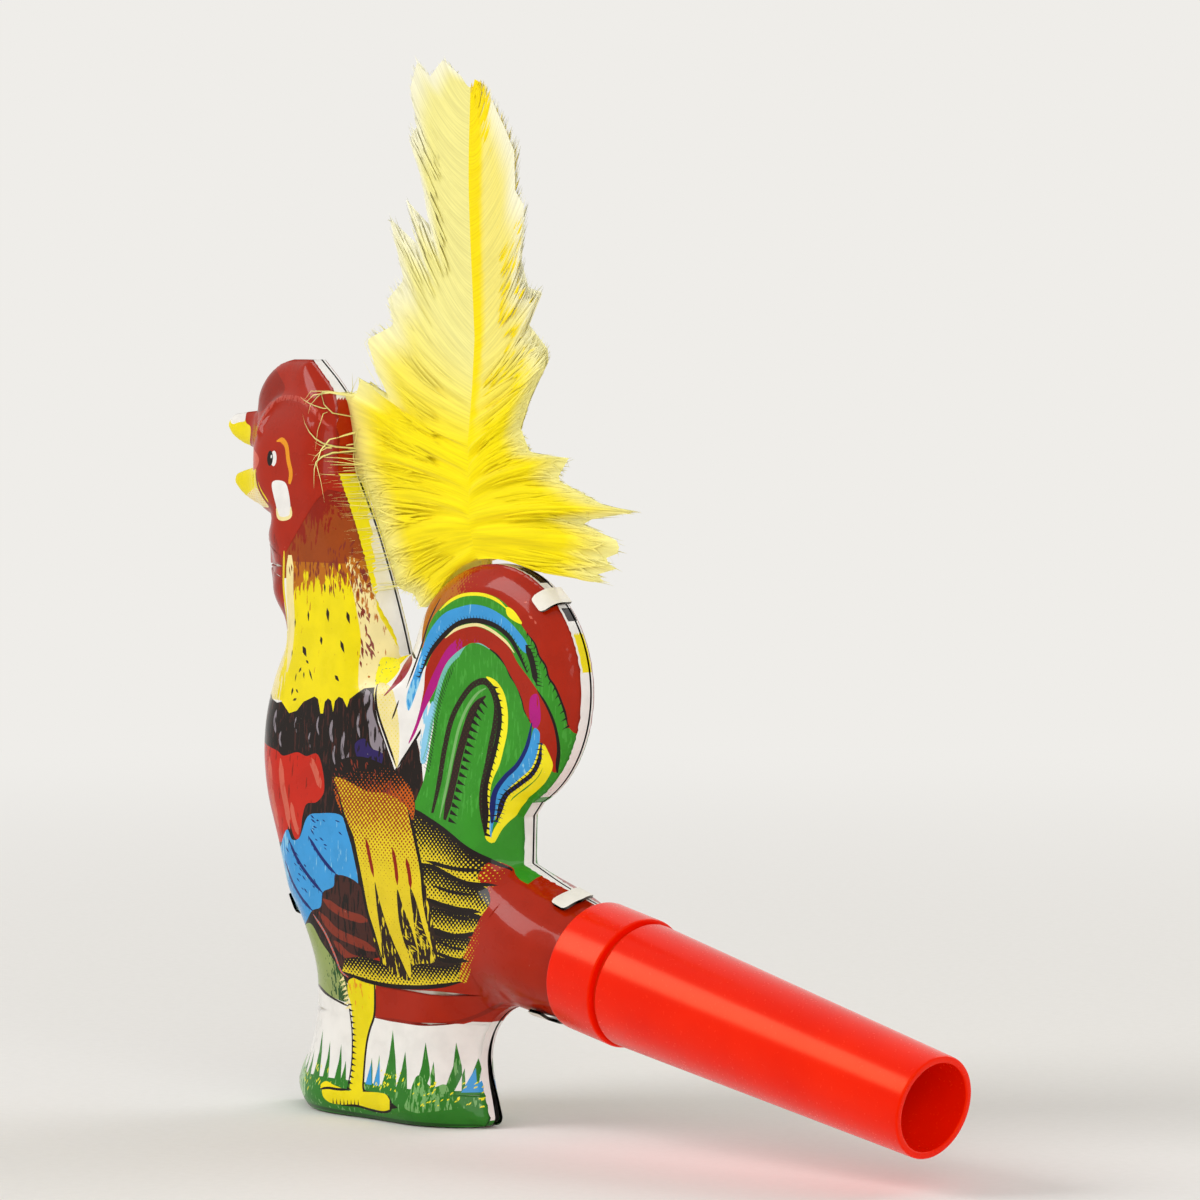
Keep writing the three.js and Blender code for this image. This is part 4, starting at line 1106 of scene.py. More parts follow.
            ends = ((x + 0.2, z + length / 2), (x - 0.1, z), (x + 0.3, z - length / 2))
            self.line(ends, width, Ink.GREY, (0.1, 0.1), over=Ink.BLACK, cover=0.35)
        # A painted highlight: a grey-white patch on the dark breast's front margin, where the curve catches
        # the light
        pale = ((-54.6, 46.4), (-54.2, 50), (-52.6, 53), (-50.6, 52.8), (-52, 49.4), (-52.8, 46))
        self.area(pale, Ink.GREY, over=Ink.WHITE, cover=0.4)
        self.area(
            (
                (-55.3, 45.9), (-45.6, 45.9), (-44.4, 45.3), (-41.4, 45.9), (-39.7, 45.5), (-37.6, 45.9),
                (-36.5, 44.2), (-36, 41.1), (-37.3, 39.8), (-39.3, 39.4), (-40, 37.9), (-40.3, 35.9),
                (-40.8, 34.8), (-41.5, 34.9), (-42.2, 36), (-42.8, 37.6), (-43, 36), (-43.5, 34.3),
                (-44.9, 34.1), (-47.3, 33.9), (-50.8, 33.4), (-53.9, 34.1),
            ),
            Ink.RED, over=Ink.COMB, cover=lambda p: 0.15 + 0.4 * ramp(p[:, 0], -46, -54),
        )
        # Light salmon streaks: the first three are printed, and the two at the front (the last row) are a
        # painted reflection
        for points, width in (
            (((-44.8, 44.9), (-44.3, 41.6), (-43.2, 38.4), (-42.6, 36)), 1.0),
            (((-38.9, 45.4), (-37.6, 43.4), (-36.6, 41.6)), 1.0),
            (((-42.4, 39.4), (-41.8, 37.4), (-40.8, 35.4)), 0.8),
            (((-47.4, 45), (-47, 41), (-45.6, 36)), 1.2), (((-53.6, 44), (-53, 40), (-51, 35.6)), 1.3),
        ):
            self.line(points, width, Ink.SALMON, (0.2, 0.2), over=Ink.RED, cover=0.25)
        # The blue pales towards the front: a painted reflection along the curved front, over the printed blue
        self.area(
            (
                (-55.7, 34), (-50.8, 33.3), (-45.6, 33.6), (-43.1, 35.9), (-42.1, 34.7), (-40.7, 34.9),
                (-38.9, 37.9), (-36.6, 38.4), (-32.3, 38.3), (-31.3, 36.6), (-30.1, 34.1), (-29, 29.7),
                (-31, 30.1), (-33.3, 30.9), (-33.6, 29.3), (-35.7, 28.4), (-36.2, 26.5), (-37.9, 25.9),
                (-39.7, 24.4), (-42.1, 23.5), (-45.6, 23.5), (-48.7, 25.1), (-55.3, 27.2),
            ),
            Ink.BLUE, over=Ink.PALE_BLUE, cover=lambda p: 0.12 + 0.5 * ramp(p[:, 0], -41, -46),
        )
        # A pale blue patch at the front edge, a painted reflection
        self.area(((-57, 34), (-53, 34), (-50, 25.4), (-57, 22)), Ink.PALE_BLUE, True)
        for points in (
            ((-38.7, 35.3), (-36.6, 33.3), (-34.5, 31.7), (-33.3, 31)),
            ((-42.8, 34.6), (-41.1, 32.4), (-38.7, 30.3), (-35.9, 28.4)),
            ((-44.2, 31.7), (-42.1, 28.9), (-40.2, 27.2), (-38, 25.9)),
        ):
            self.line(points, 0.5, Ink.NAVY, (0.2, 0.3))
            self.comb(points, -0.6, 0.9, 0.22, Ink.NAVY, 0.8)
        self.scatter(((-39.4, 38), (-33, 38), (-31.5, 33), (-38, 33)), 14, 0.9, 160, 0.2, Ink.NAVY)
        self.scatter(((-44, 34), (-41, 33), (-36, 29.5), (-40, 28)), 14, 0.9, 150, 0.2, Ink.NAVY)
        self.area((
            (-38.1, 25.7), (-36.2, 26.5), (-35.5, 28.4), (-33.5, 29.4), (-33.1, 30.7), (-28.6, 29.8),
            (-26.9, 25.5), (-25.3, 20.6), (-25.5, 19.8), (-31.7, 17.9), (-33.3, 19.8), (-35.2, 22.5),
            (-37.1, 25.1),
        ), Ink.MAROON, over=Ink.BLACK, cover=0.4)
        for points, width in (
            (((-35.7, 27.5), (-32.1, 26.1), (-27.2, 25.4)), 1.1),
            (((-36.6, 25.8), (-33.5, 23.6), (-29.7, 22.6), (-26.2, 21.7)), 1.2),
            (((-33.8, 22.3), (-31, 20.5), (-28.3, 20.1)), 1.1),
        ):
            self.line(points, width, Ink.RUST, (0.2, 0.3), over=Ink.MAROON, cover=0.3)
        self.area(
            (
                (-45.9, 23.1), (-41.1, 23.7), (-38.5, 24.1), (-36.5, 21.9), (-34.5, 20.1), (-33.1, 18.4),
                (-31.9, 16.6), (-32.3, 14.7), (-35.2, 14.8), (-39, 15.8), (-41.1, 15.9), (-44.6, 14.7),
                (-47.3, 14.2),
            ),
            Ink.OLIVE, over=Ink.DARK_GREEN, strokes=0.8, cover=lambda p: 0.1 + 0.5 * ramp(p[:, 0], -38, -33),
        )
        self.area(((-57, 24), (-47.2, 23.5), (-46.6, 14.5), (-57, 14)), Ink.OLIVE, True)
        # A thin pale line, a painted highlight where a crease catches the light
        self.line((
            (-37.8, 25.4), (-35.5, 23.2), (-33.8, 20.4), (-32.9, 18.5), (-31.6, 17.8),
        ), 0.35, Ink.SALMON, over=Ink.GREY, cover=0.4, strokes=0)

    def belly(self) -> None:
        """The brick-red body under the wing, and the dark line of the belly."""
        self.area(
            (
                (-27.9, 13.1), (-21, 12.9), (-14.8, 13.1), (-8, 12.6), (-4, 10), (16, 6),
                (16, 32), (-4, 33.4), (-10, 31), (-14, 24), (-27, 20.5),
            ),
            Ink.BRICK, True,
        )
        for skirt in (
            (
                (-52, 16), (-45.5, 14.2), (-41, 15.6), (-37.4, 15.1), (-35, 14.5), (-32, 14), (-32, 4),
                (-52, 4),
            ),
            ((-28.4, 13.1), (-21, 12.8), (-14.8, 12.9), (-13.4, 13.4), (-8, 13), (-8, 4), (-30, 4)),
        ):
            self.area(skirt, Ink.WHITE, True)
        self.line((
            (-27.8, 13), (-22.7, 12.9), (-18.3, 12.9), (-14.7, 13.4), (-12.4, 14.3), (-10.3, 15.4),
            (-8, 16.3),
        ), 0.4, Ink.COMB)
        self.line(((-39.4, 15.5), (-37.3, 15.1), (-35, 14.6), (-32.1, 14)), 0.3, Ink.BLACK, (0.1, 0.3))

    def meadow(self) -> None:
        """The grass that the rooster stands in, with blades and specks, paler at the front as a painted
        highlight, and a dark band at the foot painted as the shade where the skirt curls under.
        """
        ground = [(-50, -1), (-50, 5.4), (-45, 6.3)]
        for x, z, half in (
            (-42.3, 7.2, 0.5), (-40.6, 7.6, 0.5), (-38.4, 10.4, 0.7), (-36.3, 9.2, 0.5), (-34, 9, 0.5),
            (-33, 7, 0.4), (-28.2, 7.8, 0.5), (-26.8, 8.3, 0.5), (-24.3, 11.7, 1.2), (-21.9, 9.2, 0.9),
            (-18.7, 10.6, 0.9), (-17.8, 8.2, 0.5), (-15.5, 10.7, 0.7), (-14.9, 7.4, 0.4), (-14, 8.6, 0.5),
            (-12.9, 7.4, 0.4),
        ):
            ground += [(x - half * 1.3, 4.6), (x - half * 0.55, (z + 4.6) / 2), (x, z)]
            ground += [(x + half * 0.5, (z + 4.6) / 2), (x + half, 4.6)]
        ground += [(-11.5, 4.6), (-11.5, -1)]
        # The grass pales towards the front: a painted highlight of gloss on the curved skirt, over the
        # printed grass
        self.area(
            ground, Ink.GRASS, True, over=Ink.MEADOW, cover=lambda p: 0.22 + 0.3 * ramp(p[:, 0], -40, -44)
        )
        # A pale green patch at the front, a painted reflection
        gloss_patch = ((-51, 5.2), (-46, 6), (-42, 4.4), (-41, 2), (-51, 1.6))
        self.area(gloss_patch, Ink.PAINTED_GLOSS_GREEN, over=Ink.GRASS, cover=0.35)
        # A paler green patch low on the skirt, a painted reflection
        self.area(
            ((-20.6, 3.6), (-19.6, 6.4), (-17.6, 5), (-16.4, 5.4), (-15.6, 3.4), (-15.4, 2), (-21, 2.2)),
            Ink.MEADOW, over=Ink.GRASS, cover=0.5,
        )
        for x, z in ((-28.3, 7.2), (-26.7, 7.6), (-14.1, 7.4), (-13.4, 6.2)):
            self.area(((x - 0.7, 4.4), (x, z), (x + 0.5, 4.4)), Ink.BLUE, True)
        # Painted shade: a plainer, darker band along the foot and a dark green line at its very bottom, where
        # the skirt curls under
        foot = ((-50, -1), (-50, 1.6), (-42, 1.2), (-30, 0.6), (-20, 1.6), (-11, 2.2), (-11, -1))
        self.area(foot, Ink.GRASS)
        self.line(((-48, 0.25), (-40, 0.5), (-30, 0.3), (-13, 0.25)), 0.5, Ink.DARK_GREEN)
        self.scatter(((-47, 2.6), (-47, 6), (-34, 6), (-34, 2.6)), 26, 0.6, 80, 0.2, Ink.LEMON)
        self.scatter(((-27.5, 4), (-27, 6.4), (-22, 6.4), (-21, 4)), 30, 0.45, 60, 0.2, Ink.LEMON)
        self.scatter(((-20, 2.6), (-20, 5.6), (-12.6, 5.6), (-12.6, 2.6)), 40, 0.4, 60, 0.18, Ink.LEMON)

    def leg_and_foot(self) -> None:
        """The scaled leg, its thigh fringe, and the foot with its toes."""
        rear = (
            (-27.1, 17.8), (-27.3, 15.5), (-27.7, 13.1), (-28.5, 11.5), (-29.1, 9.9), (-29.5, 7.6),
            (-29.5, 5.2), (-29.1, 3.6),
        )
        self.area((
            (-31.5, 17.5), *rear, (-31.5, 3.3), (-31.8, 5.2), (-31.7, 11.1), (-31.8, 14.3), (-32.1, 16.1),
        ), Ink.YELLOW, over=Ink.AMBER, cover=lambda p: 0.3 * ramp(p[:, 1], 13, 18))
        self.line((*rear, (-27.1, 3.5)), 0.35, Ink.BLACK, (0.4, 0.4))
        shin = ((-32.2, 14.3), (-31.9, 11.1), (-31.9, 7.6), (-32, 5.2), (-32.1, 3.6))
        self.line(shin, 0.22, Ink.BLACK, (0.4, 0.4))
        self.comb(shin, 0.85, 0.78, 0.42, Ink.BLACK, 0.1)
        self.comb(((-32.6, 17.6), (-32.2, 15.6), (-32, 14)), -1.1, 0.6, 0.5, Ink.CREAM, 0.2)
        self.area((
            (-36.6, 3.1), (-33.8, 3.2), (-31.5, 3.3), (-29.4, 3.4), (-26.2, 3.6), (-24.7, 3.5), (-23.8, 2.7),
            (-23.7, 1.9), (-24.7, 1.4), (-27.1, 1.4), (-30.3, 1.6), (-33.2, 1.4), (-35.3, 1.5), (-36.4, 2.2),
        ), Ink.YELLOW)
        self.area((
            (-37.1, 3.5), (-36.2, 4.1), (-34.7, 3.8), (-32.9, 3.4), (-35.6, 3.3), (-36.7, 3.1),
        ), Ink.YELLOW)
        for line in (
            ((-37.2, 3), (-35.6, 3.3), (-33.8, 3.3), (-31.9, 3.4)),
            (
                (-24.7, 3.6), (-23.7, 2.8), (-23.6, 1.8), (-24.7, 1.3), (-27.1, 1.2), (-30.3, 1.5),
                (-33.2, 1.3),
            ),
        ):
            self.line(line, 0.32, Ink.BLACK, (0.2, 0.2))
        self.area(((-23.9, 2.8), (-22.2, 2.1), (-23.9, 1.7)), Ink.BLACK, True)
        self.comb(((-34.6, 1.5), (-32.5, 1.5), (-30, 1.7)), 0.7, 0.62, 0.26, Ink.BLACK, 0.1)

    def tail_ground(self) -> None:
        """The tail's green ground and the red and orange feathers round its rim."""
        self.area((
            (-19.9, 40.5), (-19.1, 43.5), (-18.5, 47.6), (-18.3, 51.7), (-20.3, 55.2), (-21.5, 60.2),
            (-20.3, 65.2), (-15.3, 71.7), (-9.5, 71.9), (-0.7, 69.3), (6.1, 56.4), (5.2, 49.9), (-0.7, 42.6),
            (-4.2, 41), (-5.1, 39.1), (-5.1, 32), (-7.1, 32.9), (-9.5, 34.7), (-12.4, 36.9), (-15.3, 38.7),
        ), Ink.GREEN, over=Ink.LIGHT_GREEN, cover=0.3)
        self.area(((-20.2, 41), (-18, 30), (-3, 30), (-3, 40), (-8, 44)), Ink.GREEN, True)
        edge = (
            (-2.5, 62.6), (-1.1, 61.3), (-0.4, 59.9), (0.7, 58.7), (1.2, 57.3), (2, 56.3), (3.1, 53.4),
            (3.3, 51.4),
        )
        self.area((
            (-21.3, 59.9), (-20.7, 62.3), (-19.7, 64), (-16.8, 66.3), (-14.7, 67), (-12.4, 67.3), (-10, 67.2),
            (-7.7, 66.7), (-5.9, 65.7), (-4.2, 64.2), *edge, (4, 50.1), (7, 50.5), (7, 62.3), (-0.7, 72.8),
            (-12.4, 73.4), (-20.3, 69.3), (-22.1, 64.3),
        ), Ink.BRICK)
        self.area((
            (-21.3, 59.9), (-20.7, 62.3), (-19.7, 64), (-17.7, 65.7), (-14.7, 67), (-12.1, 67.4), (-11.1, 69),
            (-11.8, 73.1), (-20.3, 69.3), (-22.1, 64.3),
        ), Ink.ORANGE, over=Ink.BRICK, strokes=0.5, cover=lambda p: ramp(p[:, 0], -20, -10))
        self.comb(edge, 0.5, 1.1, 0.5, Ink.BRICK, 0.5)
        self.comb(edge, -0.7, 1.0, 0.28, Ink.BLACK, 0.6)
        self.line(edge, 0.25, Ink.BLACK)
        self.line((
            (-18.6, 64.8), (-16.8, 66), (-14.7, 66.8), (-12.4, 67.1), (-10, 67), (-7.8, 66.4), (-6.2, 65.5),
        ), 0.42, Ink.LEMON)
        self.area(((-6.3, 65.7), (-5.1, 65.4), (-3.4, 63.7), (-6.1, 64.7)), Ink.LEMON)
        # Small salmon marks on the red band's upper right, a painted highlight
        self.marks(
            Ink.SALMON,
            (-2.2, 64.6, 0.8, -30, 0.3), (-1.4, 64, 0.6, -50, 0.25), (-3.4, 66.4, 0.5, 0, 0.2),
        )

    def tail_bands(self) -> None:
        """The tail's nested bands: blue, black, cream, red, magenta and teal."""
        self.area(
            (
                (-22.4, 52.1), (-22.9, 53.5), (-22.3, 56.4), (-21.5, 59.3), (-20.5, 61.7), (-18.7, 63.7),
                (-17.1, 64.7), (-14.7, 65.4), (-12.4, 65.8), (-9.5, 65.5), (-6.5, 64.4), (-4.5, 63.1),
                (-2.6, 61.4), (-2.1, 60.2), (-2.9, 60.2), (-4.2, 61.1), (-5.6, 62.4), (-7.7, 63.4), (-10, 64),
                (-12.4, 64), (-14.7, 63.7), (-16.8, 62.6), (-18.3, 61.4), (-19.7, 59.6), (-20.6, 57.6),
                (-21.4, 54.6),
            ),
            Ink.BLUE, over=Ink.PALE_BLUE, cover=lambda p: 0.1 + 0.5 * ramp(p[:, 1], 60, 54),
        )
        self.area((
            (-20.3, 57.6), (-19.1, 59.9), (-17.3, 61.5), (-15.3, 62.5), (-13.6, 63), (-11.8, 63.1),
            (-9.8, 62.7), (-7.6, 61.9), (-5.6, 60.6), (-4.2, 58.9), (-2.4, 57.3), (-0.7, 55.7), (0.8, 54),
            (1.7, 52.1), (2, 50.2), (1.8, 48.2), (0.5, 45.4), (0.2, 47.6), (-0.2, 49.1), (-1, 50.5), (-3, 53),
            (-3.6, 54.5), (-5.7, 57.3), (-7.8, 59.6), (-9.5, 60.4), (-12.4, 61.1), (-13.6, 60.6),
            (-15.6, 59.3), (-17.1, 57.6), (-18.3, 55.2), (-19.9, 52.3), (-20.7, 50.8), (-20.3, 54.9),
        ), Ink.BRICK)
        black = (
            (-21.2, 56.4), (-19.9, 59.3), (-18.3, 61.1), (-16.5, 62.5), (-14.7, 63.4), (-12.4, 63.8),
            (-10, 63.7), (-7.7, 63.1), (-5.6, 61.9), (-4.4, 60.6), (-2.5, 57.8),
        )
        self.line(black, 0.65, Ink.BLACK, (0.2, 0.3))
        self.comb(black, 0.75, 0.55, 0.26, Ink.BLACK, -0.3)
        self.line((
            (-17.3, 61.4), (-15.3, 62.6), (-11.7, 63.3), (-9.5, 62.9), (-7.4, 62), (-5.9, 61.1), (-4.8, 60.1),
        ), 0.4, Ink.CREAM, (0.2, 0.3))
        self.area((
            (-11.2, 61.9), (-13.6, 62), (-15.6, 61.1), (-17.1, 59.9), (-19.1, 56.7), (-20.3, 53.5),
            (-21.1, 50.5), (-22.1, 47.9), (-21.2, 49.1), (-19.9, 52.2), (-18.3, 55.2), (-17.1, 57.5),
            (-15.6, 59.3), (-13.6, 60.6), (-11.2, 61),
        ), Ink.MAGENTA, over=Ink.BRICK, strokes=0.7, cover=lambda p: 0.8 * ramp(p[:, 0] + p[:, 1], 42, 49))
        inner = ((-11.2, 60.9), (-7.8, 59.6), (-5.7, 57.3), (-3.6, 54.5), (-3, 53), (-2.1, 51.9))
        self.line(inner, 0.3, Ink.BLACK, (0.2, 0.2))
        self.comb(inner, -0.55, 1.0, 0.26, Ink.BLACK, 0.4)
        self.area((
            (-1.8, 54.8), (-0.7, 55.2), (-0.2, 53.8), (-0.2, 51.7), (-1, 50.9), (-1.8, 51.7), (-2.1, 53),
        ), Ink.MAGENTA, over=Ink.BRICK, cover=0.15)
        self.line((
            (-19.5, 46.1), (-18.9, 48.8), (-18.5, 51.7), (-18.1, 54), (-17.5, 56.4), (-16.5, 58.2),
            (-14.7, 59.6), (-13, 60.4), (-11.2, 60.7), (-9.3, 60.2),
        ), 0.7, Ink.TEAL, (0.3, 0.6))
        self.area((
            (-19.7, 46.1), (-19.9, 48.2), (-19.5, 50.5), (-18.7, 53.5), (-18.3, 52.9), (-18.7, 50.5),
            (-19.1, 47.6),
        ), Ink.PALE_BLUE)
        self.line((
            (-0.7, 55.7), (0.8, 54), (1.7, 52.1), (2, 50.2), (1.8, 48.2), (0.7, 45.4),
        ), 0.35, Ink.BLACK)
        fringe = (
            (-18.3, 44.7), (-18, 48.2), (-17.7, 51.7), (-17.1, 54.9), (-15.7, 57.3), (-13.6, 59),
            (-11.2, 59.6), (-8.9, 59),
        )
        for length, lean in ((1.1, 0.5), (-0.9, -0.5)):
            self.comb(fringe, length, 0.42, 0.2, Ink.DARK_GREEN, lean)

    def tail_blades(self) -> None:
        """The dark curved quills and the yellow and blue blades inside the bands."""
        self.area((
            (-13.6, 60.5), (-12.4, 61), (-9.5, 60.4), (-6.5, 58.4), (-5.7, 57.2), (-4.5, 56), (-3.6, 54.4),
            (-3, 52.9), (-2.1, 51.8), (-2.4, 48.8), (-3.9, 46.1), (-5.9, 44.4), (-7.1, 42.9), (-8, 40.5),
            (-9.5, 39.4), (-12.4, 39.1), (-15.3, 38.8), (-17.4, 39.4), (-18.3, 42.9), (-17.8, 47.6),
            (-17.4, 51.7), (-16.5, 55.2), (-15.3, 58.2),
        ), Ink.GREEN, over=Ink.LIGHT_GREEN, cover=0.3)
        self.line((
            (-17, 39.6), (-16.4, 43.2), (-16, 47.6), (-15.2, 51.6), (-13.7, 54.2), (-12, 55.8), (-10, 56.3),
            (-8.7, 55.3), (-7.9, 53.5), (-8, 51.1), (-8.4, 48.5), (-8.6, 45.8), (-8.8, 42.9), (-8.8, 40.3),
            (-8.4, 36.9),
        ), 0.85, Ink.BROWN_BLACK, (0.5, 0.5), over=Ink.DARK_GREEN, cover=0.15, strokes=0)
        self.line((
            (-14.7, 38.9), (-14, 42.9), (-13.5, 46.7), (-12.9, 49.5), (-12.2, 51.8), (-11.2, 53.5),
            (-9.8, 54.5),
        ), 1.25, Ink.BROWN_BLACK, (0.4, 0.2), over=Ink.MAROON, cover=0.2, strokes=0)
        self.comb((
            (-10.5, 53.9), (-11.6, 51.8), (-12.2, 49.4), (-12.7, 46.4), (-13.2, 42.9), (-13.9, 39),
        ), 1.5, 0.98, 0.6, Ink.BLACK, 0.1)
        self.line((
            (-15.6, 39.1), (-15, 42.9), (-14.5, 47), (-13.9, 50.5), (-12.8, 53), (-11.2, 54.8), (-9.8, 55.5),
        ), 0.45, Ink.MEADOW)
        self.area((
            (-9.9, 56.9), (-8.3, 56.6), (-6.7, 55.2), (-5.9, 53), (-5.8, 50.5), (-6.2, 48.2), (-6.6, 46.1),
            (-7.3, 44.4), (-7.8, 42.3), (-8.2, 38.5), (-7.9, 36.3), (-8.5, 36.7), (-8.6, 39.4), (-8.3, 41.7),
            (-7.9, 44.4), (-7.5, 46.7), (-7.1, 49.1), (-6.8, 51.7), (-7.3, 54), (-8.4, 55.8),
        ), Ink.LEMON)
        blade = (
            (-8.4, 55.7), (-7.6, 54), (-7.2, 51.7), (-7.5, 49.1), (-7.9, 46.7), (-8.2, 44.4), (-8.5, 41.7),
            (-8.6, 39.4), (-8.6, 37.5),
        )
        self.line(blade, 0.7, Ink.BLACK, (0.2, 0.3))
        self.comb(blade, 0.8, 0.85, 0.5, Ink.BLACK, 0.5)
        black = ((-0.1, 49.1), (-0.7, 47), (-2, 45.2), (-4, 43.8), (-5.9, 42.5), (-7, 40.8), (-7.6, 39.1))
        self.line(black, 1.3, Ink.LEMON, (0.4, 0.1))
        self.area((
            (0.2, 49.1), (0.8, 46.7), (-0.6, 44.5), (-2.4, 43), (-4.2, 41.8), (-5.8, 40.1), (-7, 38.3),
            (-7.9, 36.3), (-8.1, 37), (-7.4, 39.1), (-6.5, 40.8), (-5.1, 42.2), (-3, 43.5), (-1.1, 45.1),
            (-0.2, 46.7),
        ), Ink.LEMON)
        self.area((
            (-1.1, 51), (-0.3, 50.5), (-0.6, 48.5), (-1.8, 46.1), (-3.9, 44.4), (-5.9, 42.8), (-7, 41.1),
            (-7.8, 39.1), (-8.1, 36.9), (-8.2, 38.8), (-7.6, 41.1), (-6.9, 43), (-5.6, 44.5), (-3.6, 46.2),
            (-2.1, 48.5),
        ), Ink.BLUE, over=Ink.PALE_BLUE, cover=0.15)
        self.line((
            (-1.6, 51.6), (-2.3, 48.8), (-3.8, 46.3), (-5.6, 44.7), (-7, 43), (-7.8, 40.8), (-8, 38.8),
        ), 0.6, Ink.NAVY)
        self.line(black, 0.5, Ink.BLACK)
        self.comb(black, -0.7, 0.72, 0.3, Ink.BLACK, 0.3)
        self.comb(black, 0.5, 0.6, 0.2, Ink.NAVY, 0.3)
        serrated = ((-2.7, 61.1), (-1.8, 59.6), (-0.8, 56.4))
        self.line(serrated, 1.0, Ink.BLACK, (0.2, 0.1))
        self.comb(serrated, 1.2, 0.5, 0.28, Ink.BLACK, 0.5)

    def tail_front(self) -> None:
        """The cream and white feathers at the tail's front, and the sliver in the notch."""
        self.area((
            (-26.2, 54.6), (-24.7, 55.2), (-23.4, 57.3), (-22.1, 58.5), (-20.2, 57.6), (-20.2, 53.5),
            (-19.8, 50.5), (-21.5, 47.8), (-23.7, 44.8), (-23.5, 47.6), (-24.1, 51.1),
        ), Ink.WHITE)
        self.area((
            (-28.2, 55.2), (-25.6, 54.9), (-24.6, 53.5), (-23.8, 50.5), (-23.5, 47.6), (-23.7, 44.8),
            (-25.6, 48.4), (-27.1, 51.6),
        ), Ink.CREAM, over=Ink.YELLOW, cover=0.12, strokes=0)
        self.line(((-28.1, 55.2), (-27.1, 51.6), (-25.6, 48.4), (-23.7, 44.8)), 0.35, Ink.BLACK, (0.3, 0.1))
        self.line(((-23.7, 44.8), (-21.5, 47.8), (-19.8, 50.3)), 0.35, Ink.BLACK, (0.1, 0.3))
        self.line(((-24, 53.4), (-24.6, 51.6), (-24.9, 50.9)), 0.25, Ink.BROWN_BLACK, (0.1, 0.1))
        pale = ((-20.2, 49.6), (-19.6, 53.4), (-18.6, 50), (-19, 45.8), (-19.7, 45.6))
        self.area(pale, Ink.PALE_BLUE, over=Ink.WHITE, cover=0.5)
        self.line((
            (-23.1, 54.9), (-22.4, 57.6), (-21.5, 60.5), (-20.5, 63.4), (-19, 66.3),
        ), 0.35, Ink.BLACK, (0.1, 0.3))
        self.area((
            (-26.1, 59), (-23.3, 58.4), (-23.7, 56.4), (-25.2, 54.8), (-26.5, 53.7), (-25.6, 55.2),
            (-25.3, 56.7),
        ), Ink.ROSE, over=Ink.COMB, cover=0.3)
        self.line(((-26.2, 58.6), (-24.4, 59.2), (-22.3, 58.6)), 0.4, Ink.BLACK, (0.2, 0.2))

    def wing(self) -> None:
        """The folded wing's long feathers: gold breaking into black dots, with brick tips."""
        shade = ((-25.4, 19), (-14, 18.6), (-11, 20), (-10, 25), (-9, 30), (-18, 38), (-28.6, 38))
        self.area(shade, Ink.BROWN_BLACK, True)
        first, second = (
            ((-18.6, 33.3), (-16.1, 32.9), (-12.3, 31.7), (-8.2, 30.7), (-4.7, 29.3)),
            ((-18.3, 33.1), (-15.8, 33), (-12.3, 31.8), (-8.2, 30.7), (-4.7, 29.4)),
        )
        edges = (
            ((-31.7, 20.3), (-28.3, 20.7), (-24.8, 20.3), (-19.6, 20.6), (-14.4, 20.6), (-9.4, 21.7)),
            ((-32.7, 18.5), (-28.3, 17.6), (-24.8, 17.3), (-19.6, 17.5), (-15.1, 18.1), (-11.3, 19)),
            ((-16.5, 24.1), (-12.7, 24.3), (-9.2, 24.6), (-6.8, 25.1)),
            ((-16.3, 21.9), (-14.4, 21.4), (-10.9, 21.7), (-8, 23.3)),
            ((-17.4, 28), (-14.4, 27.8), (-10.2, 27.4), (-5.4, 27.1)),
            ((-16.8, 25.3), (-14.4, 24.6), (-10.6, 24.8), (-7.3, 25.5)),
            second,
            ((-17.7, 29.1), (-14.4, 28.3), (-9.9, 27.5), (-6.1, 27.2)),
            first,
            second,
            ((-20.8, 40), (-16.8, 38.5), (-14.4, 37.5), (-9.7, 35), (-5, 32.3), (-1.8, 30.7)),
            first,
        )
        for upper, lower in zip(edges[::2], edges[1::2]):
            self.barred(upper, lower)
            self.line(lower, 0.55, Ink.BLACK, (0.2, 0.1))
        self.area(
            (
                (-8, 34.1), (-4.7, 32.1), (0.8, 30), (-1.9, 28.6), (-5.2, 26.9), (-6.6, 25.3), (-8, 23.3),
                (-9.2, 21.5), (-11.3, 18.8), (-12.3, 18.8), (-10.9, 21.7), (-9.4, 24.1), (-7.6, 27.2),
                (-6.4, 29.1), (-7.5, 30.7), (-9.2, 32),
            ),
            Ink.BRICK, over=Ink.GOLD, strokes=0,
            cover=lambda p: 0.55 * ramp(p[:, 0] - 0.1 * (p[:, 1] - 25), -7, -12.5),
        )
        for z, x0, x1, width in (
            (28.3, -16.5, -7.4, 0.6), (27.2, -14.5, -9, 0.3), (25, -16.3, -9.4, 0.5), (22, -16, -9.6, 0.5),
            (31.6, -14, -6.4, 0.45), (33.3, -17.6, -8.4, 0.5), (30.3, -16.4, -8.8, 0.4),
            (23.4, -15, -10, 0.3),
        ):
            ends = ((x0, z + 0.35), ((x0 + x1) / 2, z - 0.3), (x1, z - 0.4))
            self.line(ends, width, Ink.BLACK, (0.1, 0.02))
        self.line((
            (-21.3, 40.2), (-17.9, 38.9), (-14.4, 37.5), (-9.7, 35), (-6.1, 32.9),
        ), 0.6, Ink.BLACK, (0.3, 0.2))

